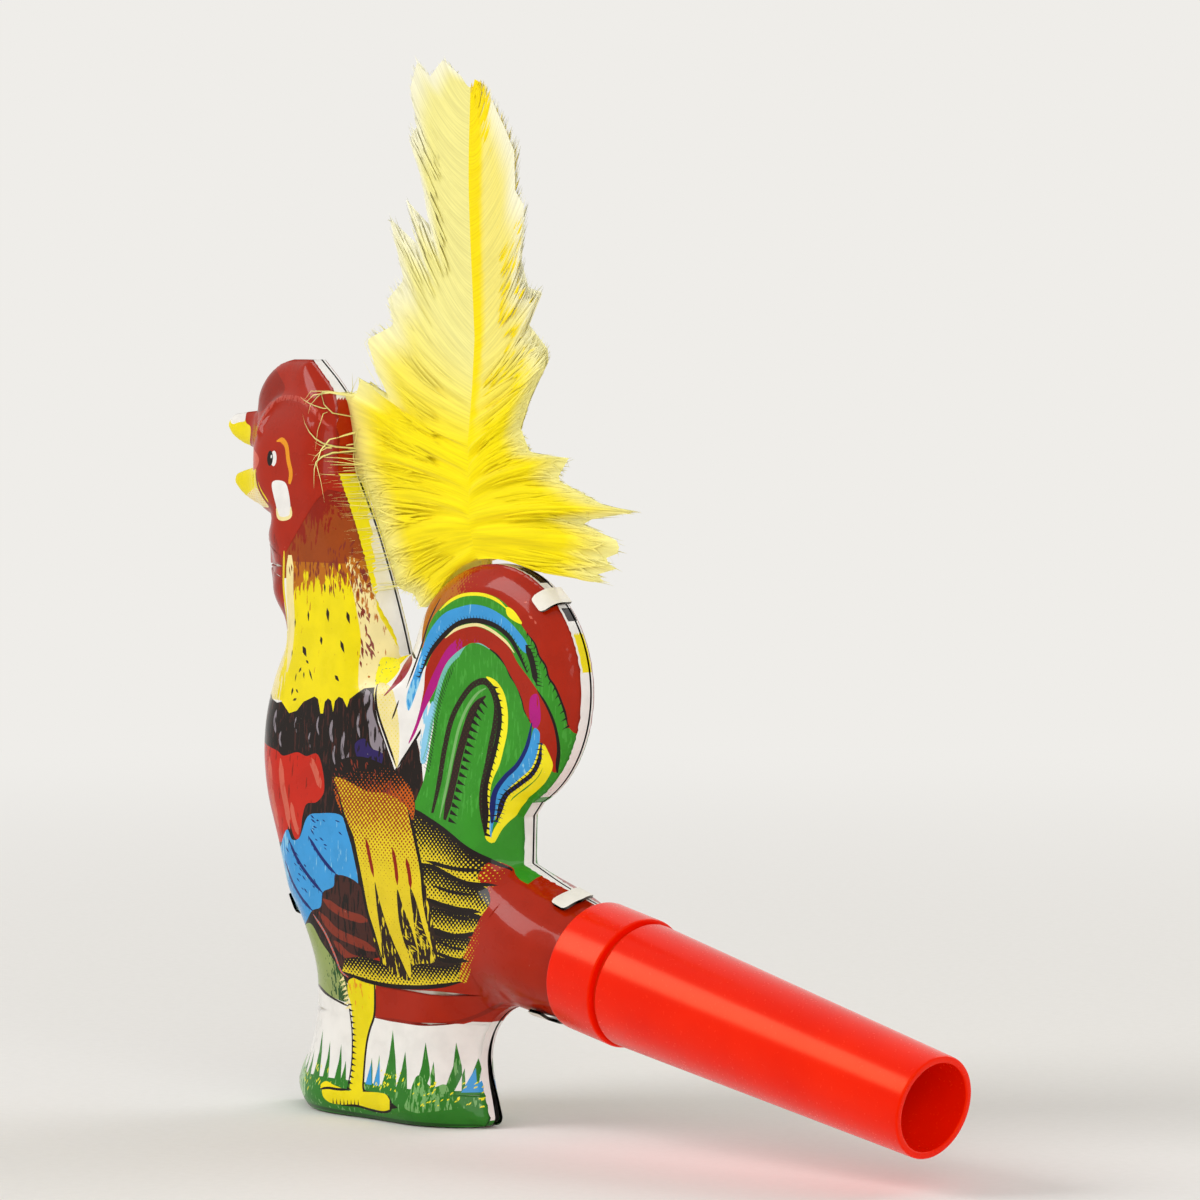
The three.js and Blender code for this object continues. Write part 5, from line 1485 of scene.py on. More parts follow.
    def saddle_feathers(self) -> None:
        """The gold saddle feathers that hang over the wing, brown at the root and bright at the tip."""
        self.area((
            (-28.3, 31.7), (-18, 31.7), (-16.8, 28.6), (-15.6, 25.1), (-15.6, 21.3), (-20, 20.2),
            (-20.8, 18.3), (-25.2, 20.1), (-26.9, 25.8),
        ), Ink.BROWN_BLACK, over=Ink.GOLD, cover=0.3)
        self.area(
            ((-34.4, 44.4), (-30, 46), (-24, 44.4), (-20.8, 42), (-20.4, 38.4), (-32, 38.4)),
            Ink.BLACK, over=Ink.FLAME, strokes=0,
            cover=lambda p: 0.66 * ramp(p[:, 1] - 0.14 * (p[:, 0] + 28), 44.6, 40.2),
        )
        shoulder = ((-33.4, 40), (-35.4, 44.6), (-29, 45.6), (-24, 43), (-21, 40.6))
        self.scatter(shoulder, 70, 0.7, 118, 0.2, Ink.RUST)
        front, rear = (
            ((-31.7, 37.9), (-30.3, 35.9), (-29.2, 33.1), (-28.2, 30), (-27.2, 26.5), (-26.1, 23.7)),
            ((-17.4, 27.9), (-17.8, 31), (-18.3, 33.1), (-19.2, 35.5), (-20.1, 37.6), (-21.3, 39.9)),
        )
        self.area(
            (
                (-34.1, 43.1), (-33.1, 41.1), *front, (-25.3, 20.8), (-25, 23.7), (-25.4, 27.2),
                (-25.8, 30.5),
                (-25.1, 28.6), (-23.7, 25.1), (-22.3, 21.7), (-20.7, 18.5), (-20.4, 21), (-21.1, 23.7),
                (-21.6, 26.5), (-21.8, 29.8), (-20.9, 27.9), (-19.5, 25.1), (-18.6, 21.8), (-18.8, 24.4),
                (-19.2, 27.2), (-19.7, 30.1), (-18.5, 28.2), (-17.5, 25.5), (-16.1, 22.5), (-16.6, 25.1),
                *rear, (-24.8, 41.5), (-28.3, 41.7), (-31.7, 42.8),
            ),
            Ink.RUSSET, over=Ink.GOLD, strokes=0, cover=lambda p: 0.36 + 0.68 * ramp(p[:, 1], 41, 29),
        )
        for points in (
            ((-23.1, 35), (-22.3, 32.7), (-21.8, 30.3)),
            ((-27.8, 35.9), (-27.1, 34.1), (-26, 31)),
            ((-20.7, 33.8), (-20, 31.9), (-19.6, 30)),
        ):
            self.line(points, 0.55, Ink.COMB, (0.1, 0.1))
        for points in (((-33.5, 41.8), *front, (-25.2, 20.7)), rear[::-1]):
            self.line(points, 0.5, Ink.BLACK, (0.1, 0.2))
        self.scatter(((-21, 26), (-17, 26), (-16, 22), (-21, 21)), 34, 0.9, 150, 0.16, Ink.GOLD)

    def edge_colours(self, spots: Array, level: Array, corners: Array, outline: Outline) -> dict:
        """Colours of the side wall: the print wraps over it in places, the neck's wall is lemon near the
        face, and elsewhere it is white.

        Args:
            spots: Middle of each face in (x, z).
            level: How far each face lies from the printed face, as a share of the wall.
            corners: The faces' corners in (x, z).
            outline: The outline that the wall follows.
        """
        x, z = spots[:, 0], spots[:, 1]
        along, _ = outline.axis.split(spots)
        plain = (along > -12) & (x > -6)
        for west, east, low, high in self.white_wall:
            plain |= (x > west) & (x < east) & (z > low) & (z < high)
        chosen = self.paint(spots)
        chosen[plain] = -1
        # The neck's side wall is lemon near the printed face, over less of its height lower on the neck
        neck = (x > -42) & (x < -29) & (z > 57) & (z < 81.5)
        chosen[neck & (level < 1.3 - 0.08 * (81.5 - z))] = self.number(Ink.LEMON)
        turn = np.degrees(np.arctan2(z - outline.tail_centre[1], x - outline.tail_centre[0]))
        middle = (level > 0.3) & (x > -11)
        for ink, start, end in self.wall_bars:
            chosen[middle & (turn > start) & (turn < end)] = self.number(ink)
        return self.colours(chosen, corners)

    def number(self, ink: Ink) -> int:
        """Number of the first shape in a plain ink."""
        return next(i for i, shape in enumerate(self.shapes) if shape.ink is ink and shape.over is None)


@dataclass
class TinHalves:
    """The two pressed tin halves, with their printed skins, bare insides and rims."""

    outline: Outline
    near: Pressing
    far: Pressing
    art: RoosterPrint
    wall: float = 0.4
    grain: float = 0.8
    inner_grain: float = 1.7
    rings: Sequence[float] = (0.08, 0.18, 0.32, 0.5, 0.8)
    wall_rows: int = 5

    def plane_mesh(self, loop: Array, shapes: Sequence[Array], grain: float) -> tuple[Array, Array]:
        """Triangles that fill a loop in the seam plane and keep the sides of the shapes in it.

        Args:
            loop: The outline that is filled.
            shapes: Closed loops whose sides become edges of triangles.
            grain: Spacing of the points in the open field.

        Returns:
            Points in (x, z) and rows of three indexes, anticlockwise.
        """
        low, high = loop.min(0), loop.max(0)
        x, z = np.arange(low[0], high[0], grain), np.arange(low[1], high[1], grain * TRIANGLE_HEIGHT)
        spots = np.stack(np.meshgrid(x, z, indexing="ij"), -1)
        spots[:, 1::2, 0] += grain / 2
        spots = spots.reshape(-1, 2)
        spots = spots[inside(spots, loop)]
        spots = spots[self.outline.edge_gap(spots) > self.rings[-1] + 0.3]
        batches, edges, count = [spots], [], len(spots)
        for shape in [loop, *shapes]:
            numbers = np.arange(len(shape))
            edges.append(np.stack([numbers, np.roll(numbers, -1)], -1) + count)
            batches.append(shape)
            count += len(shape)
        for reach in self.rings:
            ring = loop + self.outline.inwards * reach
            batches.append(ring[(self.outline.edge_gap(ring) > reach * 0.9) & inside(ring, loop)])
        corners = [Vector(p) for p in np.vstack(batches)]
        made = delaunay_2d_cdt(corners, np.vstack(edges).tolist(), [], 0, 1e-3, False)
        flat = np.array([tuple(p) for p in made[0]])
        faces = np.array(made[2])
        used, faces = np.unique(faces[inside(flat[faces].mean(1), loop)], return_inverse=True)
        return flat[used], faces.reshape(-1, 3)

    def side_wall(self, maker: MeshMaker, press: Pressing) -> None:
        """The wall from the corner's start back to the seam, as rows of the outline's points."""
        loop, rows, count = self.outline.loop, self.wall_rows, len(self.outline.loop)
        share = np.linspace(0, 1, rows)[:, None]
        depth = press.rim(loop) * (1 - share) + press.seam_edge(loop) * share
        flat = np.tile(loop, (rows, 1))
        points = np.stack([flat[:, 0], -depth.ravel(), flat[:, 1]], -1)
        out = np.tile(-self.outline.inwards, (rows, 1))
        normals = np.stack([out[:, 0], np.zeros(len(out)), out[:, 1]], -1)
        shut = ~np.tile(np.repeat(self.outline.open, 2), rows - 1)
        faces = grid_faces(rows, count, True)[shut][:, ::-1]
        corners = flat[faces]
        level = (faces // count).mean(1) / (rows - 1)
        colours = self.art.edge_colours(corners.mean(1), level, corners, self.outline)
        maker.add(points, faces, normals, PRINTED, colours)

    def inner_strip(self, maker: MeshMaker, press: Pressing, inner: Array) -> None:
        """The inside of the side wall, the rim that faces the seam, and the open ends' rims."""
        loop, back = self.outline.loop, press.seam_edge(self.outline.loop)
        skin, _ = press.surface(loop)
        front, _ = press.surface(inner)
        depth = np.minimum(front[:, 1] + self.wall, -back)
        base = np.stack([loop[:, 0], -back, loop[:, 1]], -1)
        lip = np.stack([inner[:, 0], -back, inner[:, 1]], -1)
        deep = np.stack([inner[:, 0], depth, inner[:, 1]], -1)
        faces = grid_faces(2, len(loop), True)
        shut = ~np.repeat(self.outline.open, 2)
        way = self.outline.inwards
        facing = np.tile(np.stack([way[:, 0], np.zeros(len(loop)), way[:, 1]], -1), (2, 1))
        back_facing = np.tile((0.0, 1.0, 0.0), (2 * len(loop), 1))
        maker.add(np.vstack([base, lip]), faces[shut], back_facing, BARE)
        maker.add(np.vstack([lip, deep]), faces[shut], facing, BARE)
        maker.add(np.vstack([skin, skin + (0, self.wall, 0)]), faces[~shut][:, ::-1], -facing, BARE)

    def build(self) -> None:
        """Builds both halves and puts them in the place of their CAD nodes."""
        out = self.outline
        flat, faces = self.plane_mesh(out.loop, [s.loop for s in self.art.shapes], self.grain)
        corners = flat[faces]
        colours = self.art.colours(self.art.paint(corners.mean(1)), corners)
        shift = np.where((out.open | np.roll(out.open, 1))[:, None], 0.0, self.wall)
        inner = out.loop + out.inwards * shift
        lining, lining_faces = self.plane_mesh(inner, [], self.inner_grain)
        materials = [LithoTin().make(), BareTin().make()]
        for press, node in ((self.near, "left_shell"), (self.far, "right_shell")):
            maker = MeshMaker("far_tin_half" if press.far else "near_tin_half")
            places, normals = press.surface(flat)
            maker.add(places, faces, normals, PRINTED, colours)
            self.side_wall(maker, press)
            places, normals = press.surface(lining)
            places[:, 1] = np.minimum(places[:, 1] + self.wall, -press.seam)
            maker.add(places, lining_faces[:, ::-1], -normals, BARE)
            self.inner_strip(maker, press, inner)
            made = maker.make(materials, press.far)
            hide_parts(node)
            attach(made, "shell")
            log.info("%s: %d faces", maker.name, len(made.data.polygons))


@dataclass
class BentTabs:
    """Tabs of the far half that fold over the near half's edge and hold the seam shut."""

    press: Pressing
    places: Points = ((-0.6, 66.8), (3, 29.6), (-1, 15.6), (-48.6, 25.6))
    width: float = 2.6
    reach: float = 1.4
    thick: float = 0.4
    gap: float = 0.3
    corner: float = 0.6
    step: float = 0.18
    columns: int = 15
    colour: str = "#EFEBE0"

    def build(self) -> None:
        """Builds all the tabs as one piece of white-lacquered tin."""
        maker = MeshMaker("seam_tabs")
        for place in self.places:
            self.strap(maker, np.array(place))
        made = maker.make([LithoTin().make()])
        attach(made, "shell")
        log.info("bent tabs: %d", len(self.places))

    def section(self, edge: Array, inwards: Array) -> Array:
        """The strap's underside as a path of (inwards, y) points from its root to its head."""
        share = np.linspace(0, 1, 14)
        places, _ = self.press.surface(edge + inwards * (share * self.reach)[:, None])
        face = np.stack([share * self.reach, places[:, 1]], -1)
        wall = np.stack([np.zeros(5), np.linspace(self.gap, face[0, 1] + 0.4, 5)], -1)
        return smooth(np.vstack([wall, face[1:]]), self.step)

    def strap(self, maker: MeshMaker, place: Array) -> None:
        """One strap: its section swept across its width, with rounded corners at its head.

        The head's corners are cut back by r - sqrt(r^2 - over^2), where over is how far a column
        lies beyond the straight part of the width.
        """
        loop = self.press.outline.loop
        index = int(np.argmin(((loop - place) ** 2).sum(1)))
        edge = loop[index]
        along = unit(loop[(index + 2) % len(loop)] - loop[index - 2])
        inwards = np.array([-along[1], along[0]])
        path = self.section(edge, inwards)
        out = -side_normals(path)
        rows, half = len(path), self.width / 2
        side = np.linspace(-half, half, self.columns)
        over = np.clip(np.abs(side) - (half - self.corner), 0, None)
        cut = self.corner - np.sqrt(np.maximum(self.corner**2 - over**2, 0))
        length = np.linspace(0, 1, rows)
        trim = 1 - cut / (rows * self.step)
        grids = []
        for lift in (self.gap + self.thick, self.gap):
            shell = path + out * lift
            x, y = (np.stack([np.interp(length * t, length, shell[:, k]) for t in trim], 1) for k in (0, 1))
            spot = edge + inwards * x[..., None] + along * side[None, :, None]
            grids.append(np.stack([spot[..., 0], y, spot[..., 1]], -1).reshape(-1, 3))
        facing = np.stack([inwards[0] * out[:, 0], out[:, 1], inwards[1] * out[:, 0]], -1)
        facing = np.repeat(facing, self.columns, 0)
        tint = np.array(linear(self.colour))
        plain = {"ink": tint, "over": tint, "amount": np.array((0.0, 0.0, 0.0, 1.0))}
        faces = grid_faces(rows, self.columns)
        ends = np.arange(1, rows) * self.columns
        border = np.concatenate([
            np.arange(self.columns), ends + self.columns - 1,
            ends[-1] + np.arange(self.columns - 2, -1, -1), ends[-2::-1],
        ])
        upper, lower = (grid[border] for grid in grids)
        level = facing[border]
        away = upper - grids[0].mean(0)
        away -= level * (away * level).sum(1, keepdims=True)
        ring = grid_faces(2, len(border), True)
        for points, patch, normals in (
            (grids[0], faces, facing), (grids[1], faces[:, ::-1], -facing),
            (np.vstack([upper, lower]), ring, np.vstack([away, away])),
        ):
            colours = {name: np.tile(value, (len(patch), 1)) for name, value in plain.items()}
            maker.add(points, patch, normals, colours=colours)


@dataclass
class Mouthpiece:
    """The moulded mouthpiece: a collar with a socket, a groove, and a tapered tube with a lip."""

    axis: Axis
    spigot: float = 6.85
    collar_radius: float = 8.22
    collar_length: float = 7.6
    groove_width: float = 0.7
    groove_depth: float = 0.65
    cone_radius: float = 7.83
    tip_radius: float = 6.29
    cone_length: float = 50.496
    wall: float = 0.9
    socket_gap: float = 0.3
    socket_length: float = 8.6
    bore_root: float = 6.3
    lip: float = 1.2
    round: float = 0.28
    round_points: int = 6
    longest: float = 2.5
    sides: int = 144

    def profile(self) -> Array:
        """The section as a closed ring of (along, radius) corners, each rounded by a small arc."""
        end = self.collar_length + self.cone_length
        socket = self.spigot + self.socket_gap
        neck = self.cone_radius - self.groove_depth
        step = self.collar_length + self.groove_width
        corners = np.array([
            (0, socket), (0, self.collar_radius), (self.collar_length, self.collar_radius),
            (self.collar_length, neck), (step, neck), (step, self.cone_radius),
            (end - self.lip, self.tip_radius + 0.05), (end, self.tip_radius),
            (end, self.tip_radius - self.wall), (self.socket_length, self.bore_root),
            (self.socket_length, socket),
        ])
        back, ahead = np.roll(corners, 1, axis=0) - corners, np.roll(corners, -1, axis=0) - corners
        gaps = [np.linalg.norm(v, axis=1, keepdims=True) for v in (back, ahead)]
        cut = np.minimum(self.round, np.minimum(gaps[0], gaps[1]) * 0.4)
        first, last = corners + back / gaps[0] * cut, corners + ahead / gaps[1] * cut
        t = np.linspace(0, 1, self.round_points)[None, :, None]
        bends = first[:, None] * (1 - t) ** 2 + corners[:, None] * 2 * t * (1 - t) + last[:, None] * t**2
        ring, long = bends.reshape(-1, 2), []
        for a, b in zip(ring, np.roll(ring, -1, axis=0)):
            count = max(1, int(np.linalg.norm(b - a) / self.longest))
            long.append(a + (b - a) * np.linspace(0, 1, count, endpoint=False)[:, None])
        return np.vstack(long)

    def build(self) -> None:
        """Turns the section about the axis and puts the piece in its node's place."""
        ring = self.profile()
        run = np.roll(ring, -1, axis=0) - np.roll(ring, 1, axis=0)
        angle = np.linspace(0, 2 * math.pi, self.sides, endpoint=False)
        turned = []
        for pairs in (ring, np.stack([-run[:, 1], run[:, 0]], -1)):
            along = np.repeat(pairs[:, :1], self.sides, 1)
            grid = np.stack([along, pairs[:, 1:] * np.cos(angle), pairs[:, 1:] * np.sin(angle)], -1)
            turned.append(self.axis.onto(grid.reshape(-1, 3)))
        faces = grid_faces(len(ring) + 1, self.sides, True) % len(turned[0])
        maker = MeshMaker("moulded_mouthpiece")
        maker.add(turned[0], faces, turned[1] - (self.axis.seat[0], 0, self.axis.seat[1]))
        plastic = MouldedPlastic("red_polystyrene", "#FF1E00", "#F01400", "#FF9040", 0.22, 0.3)
        made = maker.make([plastic.make()])
        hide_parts("mouthpiece")
        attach(made, "mouth")
        log.info("mouthpiece: %d faces", len(made.data.polygons))


@dataclass(frozen=True)
class ReedUnit:
    """The reed inside the mouthpiece, whose CAD shapes are right and only get their finishes."""

    def build(self) -> None:
        """Gives the reed's nodes their plastic and brass."""
        plastic = MouldedPlastic("white_polystyrene", "#F2EFE6", "#E6E1D4", "#FFFFFF", 0.35).make()
        brass = RolledBrass().make()
        for name, material in (("reed_body", plastic), ("reed_clip", plastic), ("reed_tongue", brass)):
            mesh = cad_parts[name].data
            mesh.materials.clear()
            mesh.materials.append(material)
            log.info("finish for %s", name)


@dataclass
class Feather:
    """The dyed feather: a quill with an open vane above, and soft tufted down below."""

    press: Pressing
    quill: Points = (
        (-14, 66), (-14.3, 71.1), (-15.2, 86), (-16.4, 103), (-17.3, 118.7), (-17, 130.8),
    )
    radii: tuple[float, float] = (0.75, 0.2)
    # Rows of a barb's root height on the quill, its tip's x and its tip's z
    front: Sequence[Sequence[float]] = (
        (70.9, -24.5, 65), (71.4, -26.6, 64.6), (72.4, -28, 66.4), (73.2, -31, 67), (74.6, -32.7, 70.8),
        (77, -35.9, 77.7), (79.5, -39.8, 82.9), (83.4, -41.9, 92), (84.3, -38.6, 91.5),
        (85, -37.6, 93.6), (86, -31.9, 90.8), (87.2, -34.7, 94.9), (88.8, -36.4, 98.6),
        (90.5, -31.3, 100.5), (92.5, -32.6, 103.8), (94.2, -29.7, 106.2), (96.5, -32.6, 114.1),
        (98.2, -26.9, 110.4), (100, -29.7, 116.4), (101.6, -24.6, 112.6), (108, -26.3, 119.2),
        (113, -28.7, 124.4), (114.6, -27.2, 125.7), (119.5, -28.3, 130.4), (123.5, -26.8, 133.5),
        (125.5, -24.2, 131.8), (128, -21.8, 133.8), (130.6, -17.9, 131.3),
    )
    rear: Sequence[Sequence[float]] = (
        (70.9, -4.4, 69.8), (71.2, -0.5, 69.8), (71.9, 7.2, 68.9), (72.4, 5.6, 70), (73, 8.9, 70.8),
        (73.5, 6.6, 71.9), (74, 9.8, 72.9), (74.5, 9, 74.3),
        (75.2, 2.2, 76.4), (76, 12.2, 77.9), (77, 7.3, 78.4), (78.5, -1.6, 81.5), (79.6, 0.6, 84.2),
        (80.6, -6.4, 84.7), (82.6, -8.2, 87.8), (85, -6.4, 91.9), (88, -3.5, 96), (89.6, -3.7, 97.6),
        (91.6, -7.1, 100.6), (94.8, -4.6, 104.6), (96, -7.1, 105.2), (99, -8.2, 108.4),
        (102.6, -7.5, 112.1), (106, -7.3, 115.4), (108, -8.7, 117.2), (113, -8.7, 122.1),
        (117.5, -10.4, 124.9), (126, -14.6, 130.4), (130.6, -17, 131.3),
    )
    fullness: Points = ((71, 1.8), (76, 2.8), (86, 2.4), (93, 1.2), (99, 0.4), (131, 0.22))
    # How far the middle of a barb lies above the straight line between its ends
    bows: Points = ((71.6, 0), (73.5, 0.4), (78, 1.2), (86, -0.6), (98, -1.8), (122, -1.8), (131, -0.4))
    roots: tuple[float, float] = (70.9, 130.6)
    spacing: float = 0.3
    columns: int = 16
    keep_off: tuple[float, float] = (15.6, 16.2)
    lift: float = 0.35
    fibre_rows: int = 8
    fibre_widths: tuple[float, float] = (0.22, 0.46)
    stem_sides: int = 14

    def curve(self, height: Array, share: Array, side: int) -> Array:
        """Places in (x, z) along the barbs of one side.

        A barb is the quadratic curve from its root on the quill to its tip, with its middle
        pushed up by the bow. Places within the round tail are moved out to just above its rim.

        Args:
            height: Root heights.
            share: How far along its barb each place is, beyond 1 past its tip.
            side: -1 for the front barbs, 1 for the rear ones.
        """
        line, table = smooth(self.quill, 0.5), np.array(self.front if side < 0 else self.rear)
        bow = np.array(self.bows)
        root = np.stack([np.interp(height, line[:, 1], line[:, 0]), height], -1)
        tip = np.stack([np.interp(height, table[:, 0], table[:, k]) for k in (1, 2)], -1)
        middle = (root + tip) / 2
        middle[..., 1] += 2 * np.interp(height, bow[:, 0], bow[:, 1])
        t = share[..., None]
        spots = root * (1 - t) ** 2 + middle * 2 * t * (1 - t) + tip * t**2
        offset = spots - self.press.outline.tail_centre
        gap = np.linalg.norm(offset, axis=-1, keepdims=True)
        low, high = self.keep_off
        pushed = offset / np.maximum(gap, TINY) * (low + (high - low) * gap / high)
        return np.where(gap < high, self.press.outline.tail_centre + pushed, spots)

    def tint(self, height: Array, share: Array, reach: Array, side: int) -> Array:
        """Colour of the barbs: pale above with a strong band beside the quill, strong below."""
        pale, white, band, core, tip = (
            np.array(linear(c)) for c in ("#F4EC94", "#FCF9DA", "#FFE400", "#FFEA00", "#FFFAB0")
        )
        # Towards their ends the barbs whiten: partly their paler tips, partly a painted highlight of light
        # through the thin edges
        upper, outer = ramp(height, 84, 97)[..., None], ramp(share, 0.66, 1.02)[..., None]
        width = np.interp(height, (90, 128), (1.4, 3.0))
        near = 1 - ramp(reach, width * 0.75, width * 1.3) if side > 0 else 0 * reach
        pale = pale * 0.7 + band * 0.3 if side > 0 else pale
        vane = pale + (white - pale) * outer
        vane = vane + (band - vane) * near[..., None]
        return vane * upper + (core + (tip - core) * outer * 0.8) * (1 - upper)

    def patch(self, places: Array, share: Array, height: Array, side: int) -> dict:
        """Tint and barb attributes of a grid of places, one row of colour per place."""
        reach = np.linalg.norm(places - places[:, :1], axis=-1)
        barb = np.stack([height, reach, np.full_like(reach, side), np.ones_like(reach)], -1)
        return {"tint": self.tint(height, share, reach, side).reshape(-1, 4), "barb": barb.reshape(-1, 4)}

    def sheet(self, maker: MeshMaker, side: int) -> None:
        """One side's barbs as a closed sheet that thins out to its edge.

        Half the thickness at a share s is fullness * (1 - s^2), and soft ridges along the barbs,
        2 to 3 mm apart, raise and lower it by a quarter.
        """
        height = np.arange(self.roots[0], self.roots[1], self.spacing)[:, None]
        share = np.linspace(0, 1, self.columns)[None]
        height, share = np.broadcast_arrays(height, share)
        spots = self.curve(height, share, side)
        full = np.array(self.fullness)
        thick = np.interp(height, full[:, 0], full[:, 1]) * (1 - share**2)
        ridge = np.sin(height * 2.3 + side) + 0.6 * np.sin(height * 3.7 + 2 * side + 2 * share)
        thick = thick * (1 + 0.16 * ridge * np.sin(math.pi * share) ** 0.5)
        thick[[0, -1]] = 0
        sway = 0.5 * share**2 * np.sin(height / 7 + side) * ramp(height, 74, 90)
        colours = self.patch(np.stack([spots[..., 0], sway, spots[..., 1]], -1), share, height, side)
        for face in (-1, 1):
            points = np.stack([spots[..., 0], sway + face * thick, spots[..., 1]], -1)
            normals = np.cross(np.gradient(points, axis=1), np.gradient(points, axis=0)) * -side * face
            faces = grid_faces(*height.shape)
            faces = faces if face == -side else faces[:, ::-1]
            attributes = {name: value[faces] for name, value in colours.items()}
            maker.add(points.reshape(-1, 3), faces, normals.reshape(-1, 3), colours=attributes)

    def fibres(
        self, maker: MeshMaker, height: Array, share: Array, deep: Array, width: Array, side: int
    ) -> None:
        """Adds fine fibres that run along the barbs, as flat tapering rods with four sides.

        Args:
            height: Root height at each place of each fibre.
            share: How far along its barb each place is.
            deep: The places' y.
            width: Width of each fibre at its widest.
            side: The side of the quill.
        """
        count, rows = height.shape
        spots = self.curve(height, share, side)
        path = np.stack([spots[..., 0], self.clear(spots, deep), spots[..., 1]], -1)
        run = unit(np.gradient(path, axis=1))
        outward = np.where(deep.mean(1) < 0, -1.0, 1.0)[:, None, None] * (0.0, 1.0, 0.0)
        across = unit(np.cross(run, outward))
        facing = np.cross(across, run)
        t = np.linspace(0, 1, rows)
        half = (width[:, None] / 2 * np.clip(np.minimum(t * 6, 1 - t**2), 0.03, 1))[..., None]
        ways = np.stack([-across, facing, across, -facing], 2)
        ring = path[:, :, None] + ways * half[:, :, None] * np.array((1, 0.5, 1, 0.5))[:, None]
        faces = grid_faces(rows, 4, True)
        every = (faces[None] + (np.arange(count) * rows * 4)[:, None, None]).reshape(-1, 3)
        colours = self.patch(path, share, height, side)
        attributes = {name: np.repeat(value, 4, 0)[every] for name, value in colours.items()}
        lean = ways + facing[:, :, None] * np.array((1.5, 0, 1.5, 0))[:, None]
        maker.add(ring.reshape(-1, 3), every, lean.reshape(-1, 3), colours=attributes)

    def clear(self, spots: Array, deep: Array) -> Array:
        """The places' y, moved in front of the tin wherever they lie over the near half."""
        flat = spots.reshape(-1, 2)
        over = inside(flat, self.press.outline.loop)
        result = deep.reshape(-1).copy()
        if over.any():
            skin = self.press.surface(flat[over])[0][:, 1]
            result[over] = np.minimum(result[over], skin - self.lift)
        return result.reshape(deep.shape)

    def loose(
        self, maker: MeshMaker, rng: np.random.Generator, side: int, low: float, high: float,
        count: int, start: tuple[float, float], past: tuple[float, float], spread: float, drift: float,
    ) -> None:
        """Adds loose fibres at seeded random places between two root heights.

        Args:
            maker: The mesh to add to.
            rng: The seeded source of the places.
            side: The side of the quill.
            low: Least root height.
            high: Greatest root height.
            count: Number of fibres.
            start: Least and greatest share of a barb at which a fibre starts.
            past: Least and greatest reach of its end beyond the barb's tip, as a share.
            spread: How far the fibres cross the barbs.
            drift: How far they stand off the sheet at their ends.
        """
        t = np.linspace(0, 1, self.fibre_rows)[None]
        height = rng.uniform(low, high, (count, 1))
        wander = rng.normal(0, spread, (count, 1)) * t**2
        first, last = rng.uniform(*start, (count, 1)), 1 + rng.uniform(*past, (count, 1))
        share = first + (last - first) * t
        full = np.array(self.fullness)
        thick = np.interp(height, full[:, 0], full[:, 1])
        face = rng.choice((-1.0, 1.0), (count, 1))
        drift = rng.uniform(0, drift, (count, 1)) * t**2
        deep = face * (thick * np.clip(1 - share**2, 0, 1) * rng.uniform(0.9, 1.1, (count, 1)) + 0.06 + drift)
        width = rng.uniform(*self.fibre_widths, count)
        self.fibres(maker, np.clip(height + wander, *self.roots), share, deep, width, side)

    def stem(self, maker: MeshMaker) -> None:
        """The quill: a round rod that tapers upwards, as a grid of rows and angles."""
        line = smooth(self.quill, 1.0)
        count, sides = len(line), self.stem_sides
        radius = self.radii[0] + (self.radii[1] - self.radii[0]) * np.linspace(0, 1, count) ** 0.7
        radius[-1] = 0.02
        angle = np.linspace(0, 2 * math.pi, sides, endpoint=False)
        ring = np.stack([np.cos(angle), np.sin(angle), np.zeros(sides)], -1)
        normals = np.tile(ring, (count, 1))
        centre = np.stack([line[:, 0], np.zeros(count), line[:, 1]], -1)
        points = np.repeat(centre, sides, 0) + normals * np.repeat(radius, sides)[:, None]
        maker.add(points, grid_faces(count, sides, True), normals)

    def build(self) -> None:
        """Builds the feather's pieces in the place of its CAD solid."""
        rng = np.random.default_rng(SEED)
        vane, down, stem = (MeshMaker(f"feather_{name}") for name in ("vane", "down", "quill"))
        for side in (-1, 1):
            self.sheet(vane, side)
            self.loose(vane, rng, side, 88, 129, 420, (0.5, 0.9), (-0.03, 0.07), 0.3, 0.15)
        # The middle band of front barbs ends short of the comb, and a few long fibres cross it
        for side, low, high, count, past in (
            (1, 71.3, 92, 620, (-0.08, 0.07)), (-1, 71.3, 79.5, 250, (-0.08, 0.07)),
            (-1, 79.5, 86, 180, (-0.5, -0.2)), (-1, 86, 92, 170, (-0.08, 0.07)),
        ):
            self.loose(down, rng, side, low, high, count, (0.2, min(0.85, 0.95 + past[0])), past, 0.6, 0.3)
        self.loose(down, rng, -1, 79.5, 85.5, 20, (0.8, 0.95), (0.0, 0.12), 2.4, 1.0)
        self.stem(stem)
        barbs, horn = DyedBarbs().make(), DyedQuill().make()
        for maker in (vane, down, stem):
            made = maker.make([horn if maker is stem else barbs])
            if maker is vane:
                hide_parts("feather")
            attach(made, "plume")
            log.info("%s: %d faces", maker.name, len(made.data.polygons))


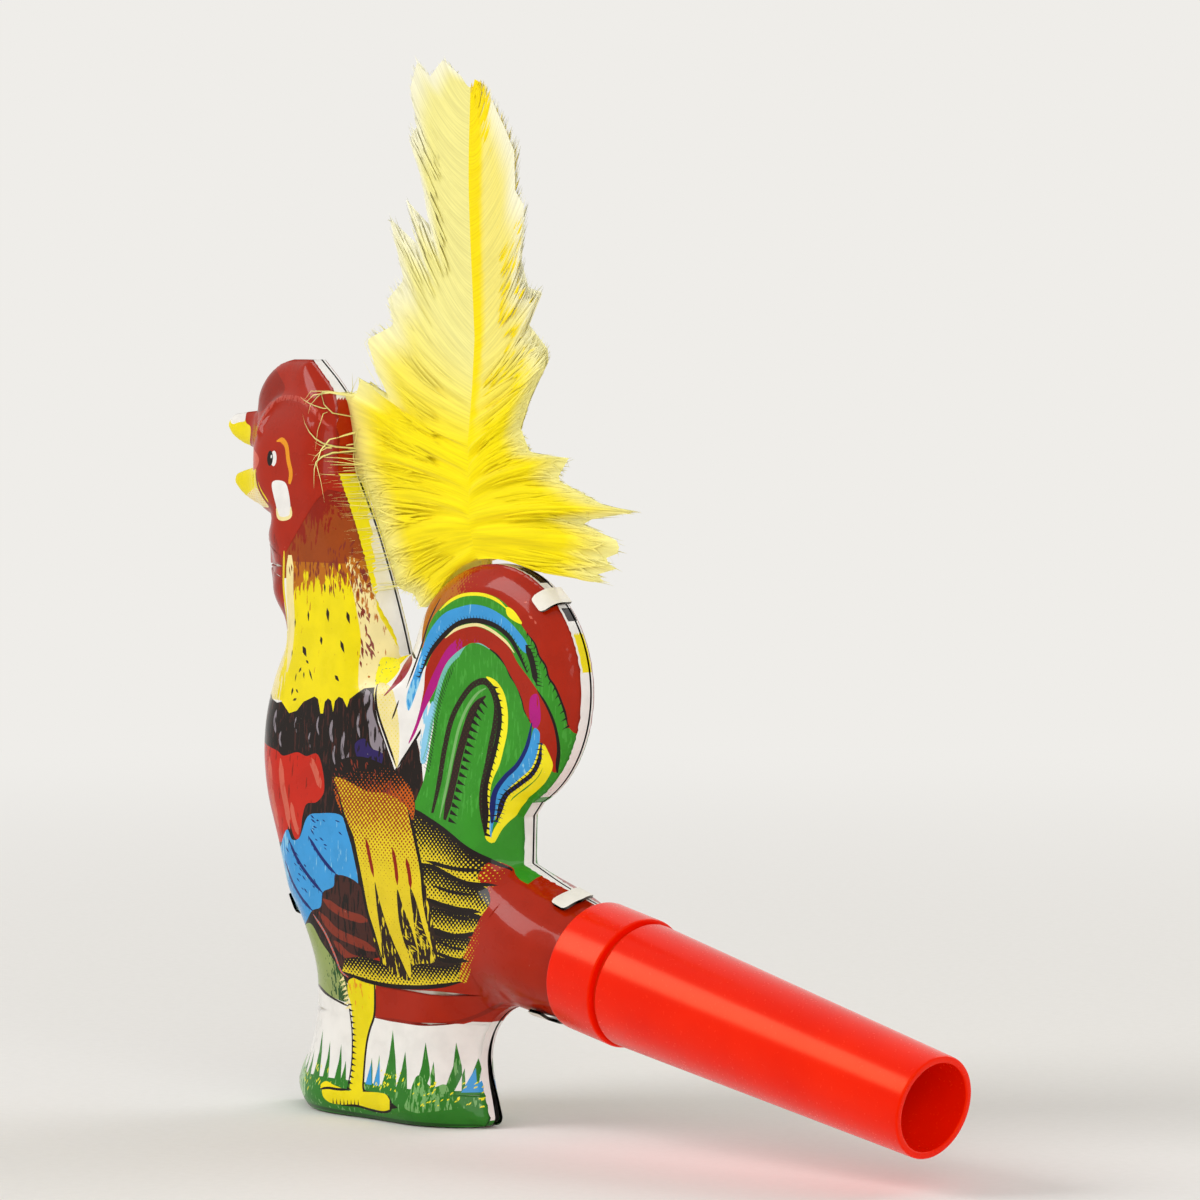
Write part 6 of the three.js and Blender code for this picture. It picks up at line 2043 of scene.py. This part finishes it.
@dataclass
class Studio:
    """The floor, the soft lights and the camera."""

    target: tuple[float, float, float] = (0.0061, 0.0, 0.0669)
    azimuth: float = 46.06
    elevation: float = 3.0
    distance: float = 0.7
    lens: float = 171.15
    floor_reach: float = 900.0
    floor_level: float = -0.2
    ambient: float = 0.55

    def build(self) -> None:
        """Sets up the studio."""
        scene = bpy.context.scene
        scene.view_settings.view_transform = "Standard"
        paper = PalePaper()
        floor = MeshMaker("studio_floor")
        corners = np.array([(-1, -1, 0), (1, -1, 0), (1, 1, 0), (-1, 1, 0)]) * self.floor_reach
        corners[:, 2] = self.floor_level
        floor.add(corners, np.array([(0, 1, 2), (0, 2, 3)]), np.tile((0.0, 0.0, 1.0), (4, 1)))
        floor.make([paper.make()])
        scene.world = self.surround(paper.colour)
        self.lamp("key", (-0.55, -0.75, 0.75), 0.55, 5.8)
        self.lamp("fill", (0.85, -0.45, 0.35), 0.7, 3.4)
        self.lamp("back", (0.1, 0.8, 0.7), 0.6, 2.4)
        self.camera(scene)
        log.info("studio ready")

    def surround(self, colour: str) -> bpy.types.World:
        """An even pale surround, which lights softly and is seen at its full paleness."""
        nodes = Nodes("pale_surround", "worlds")
        add = nodes.add
        light = add("Background", {"Color": linear(colour), "Strength": self.ambient})[0]
        pale = add("Background", {"Color": linear(colour), "Strength": 1.0})[0]
        mixed = add("MixShader", {0: nodes.seen(), 1: light, 2: pale})[0]
        add("OutputWorld", {"Surface": mixed})
        return nodes.owner

    def lamp(self, name: str, place: Sequence[float], size: float, power: float) -> None:
        """A square soft light that faces the object."""
        data = bpy.data.lights.new(name, "AREA")
        data.size, data.energy = size, power
        lamp = bpy.data.objects.new(name, data)
        lamp.location = place
        aim = Vector(self.target) - Vector(place)
        lamp.rotation_euler = aim.to_track_quat("-Z", "Y").to_euler()
        bpy.context.scene.collection.objects.link(lamp)

    def camera(self, scene: bpy.types.Scene) -> None:
        """The camera at the photograph's angle."""
        turn, lift = math.radians(self.azimuth), math.radians(self.elevation)
        away = Vector((math.sin(turn) * math.cos(lift), -math.cos(turn) * math.cos(lift), math.sin(lift)))
        data = bpy.data.cameras.new("view")
        data.sensor_width = 36
        data.lens = self.lens
        camera = bpy.data.objects.new("view", data)
        camera.location = Vector(self.target) + away * self.distance
        camera.rotation_euler = (-away).to_track_quat("-Z", "Y").to_euler()
        scene.collection.objects.link(camera)
        scene.camera = camera


def main() -> None:
    """Builds the horn and its studio."""
    logging.basicConfig(level=logging.INFO, format="%(message)s")
    outline = Outline(Axis())
    near, far = Pressing(outline), Pressing(outline, far=True)
    log.info("pressings worked out")
    TinHalves(outline, near, far, RoosterPrint()).build()
    BentTabs(near).build()
    Mouthpiece(outline.axis).build()
    ReedUnit().build()
    Feather(near).build()
    Studio().build()


if __name__ == "__main__":
    main()
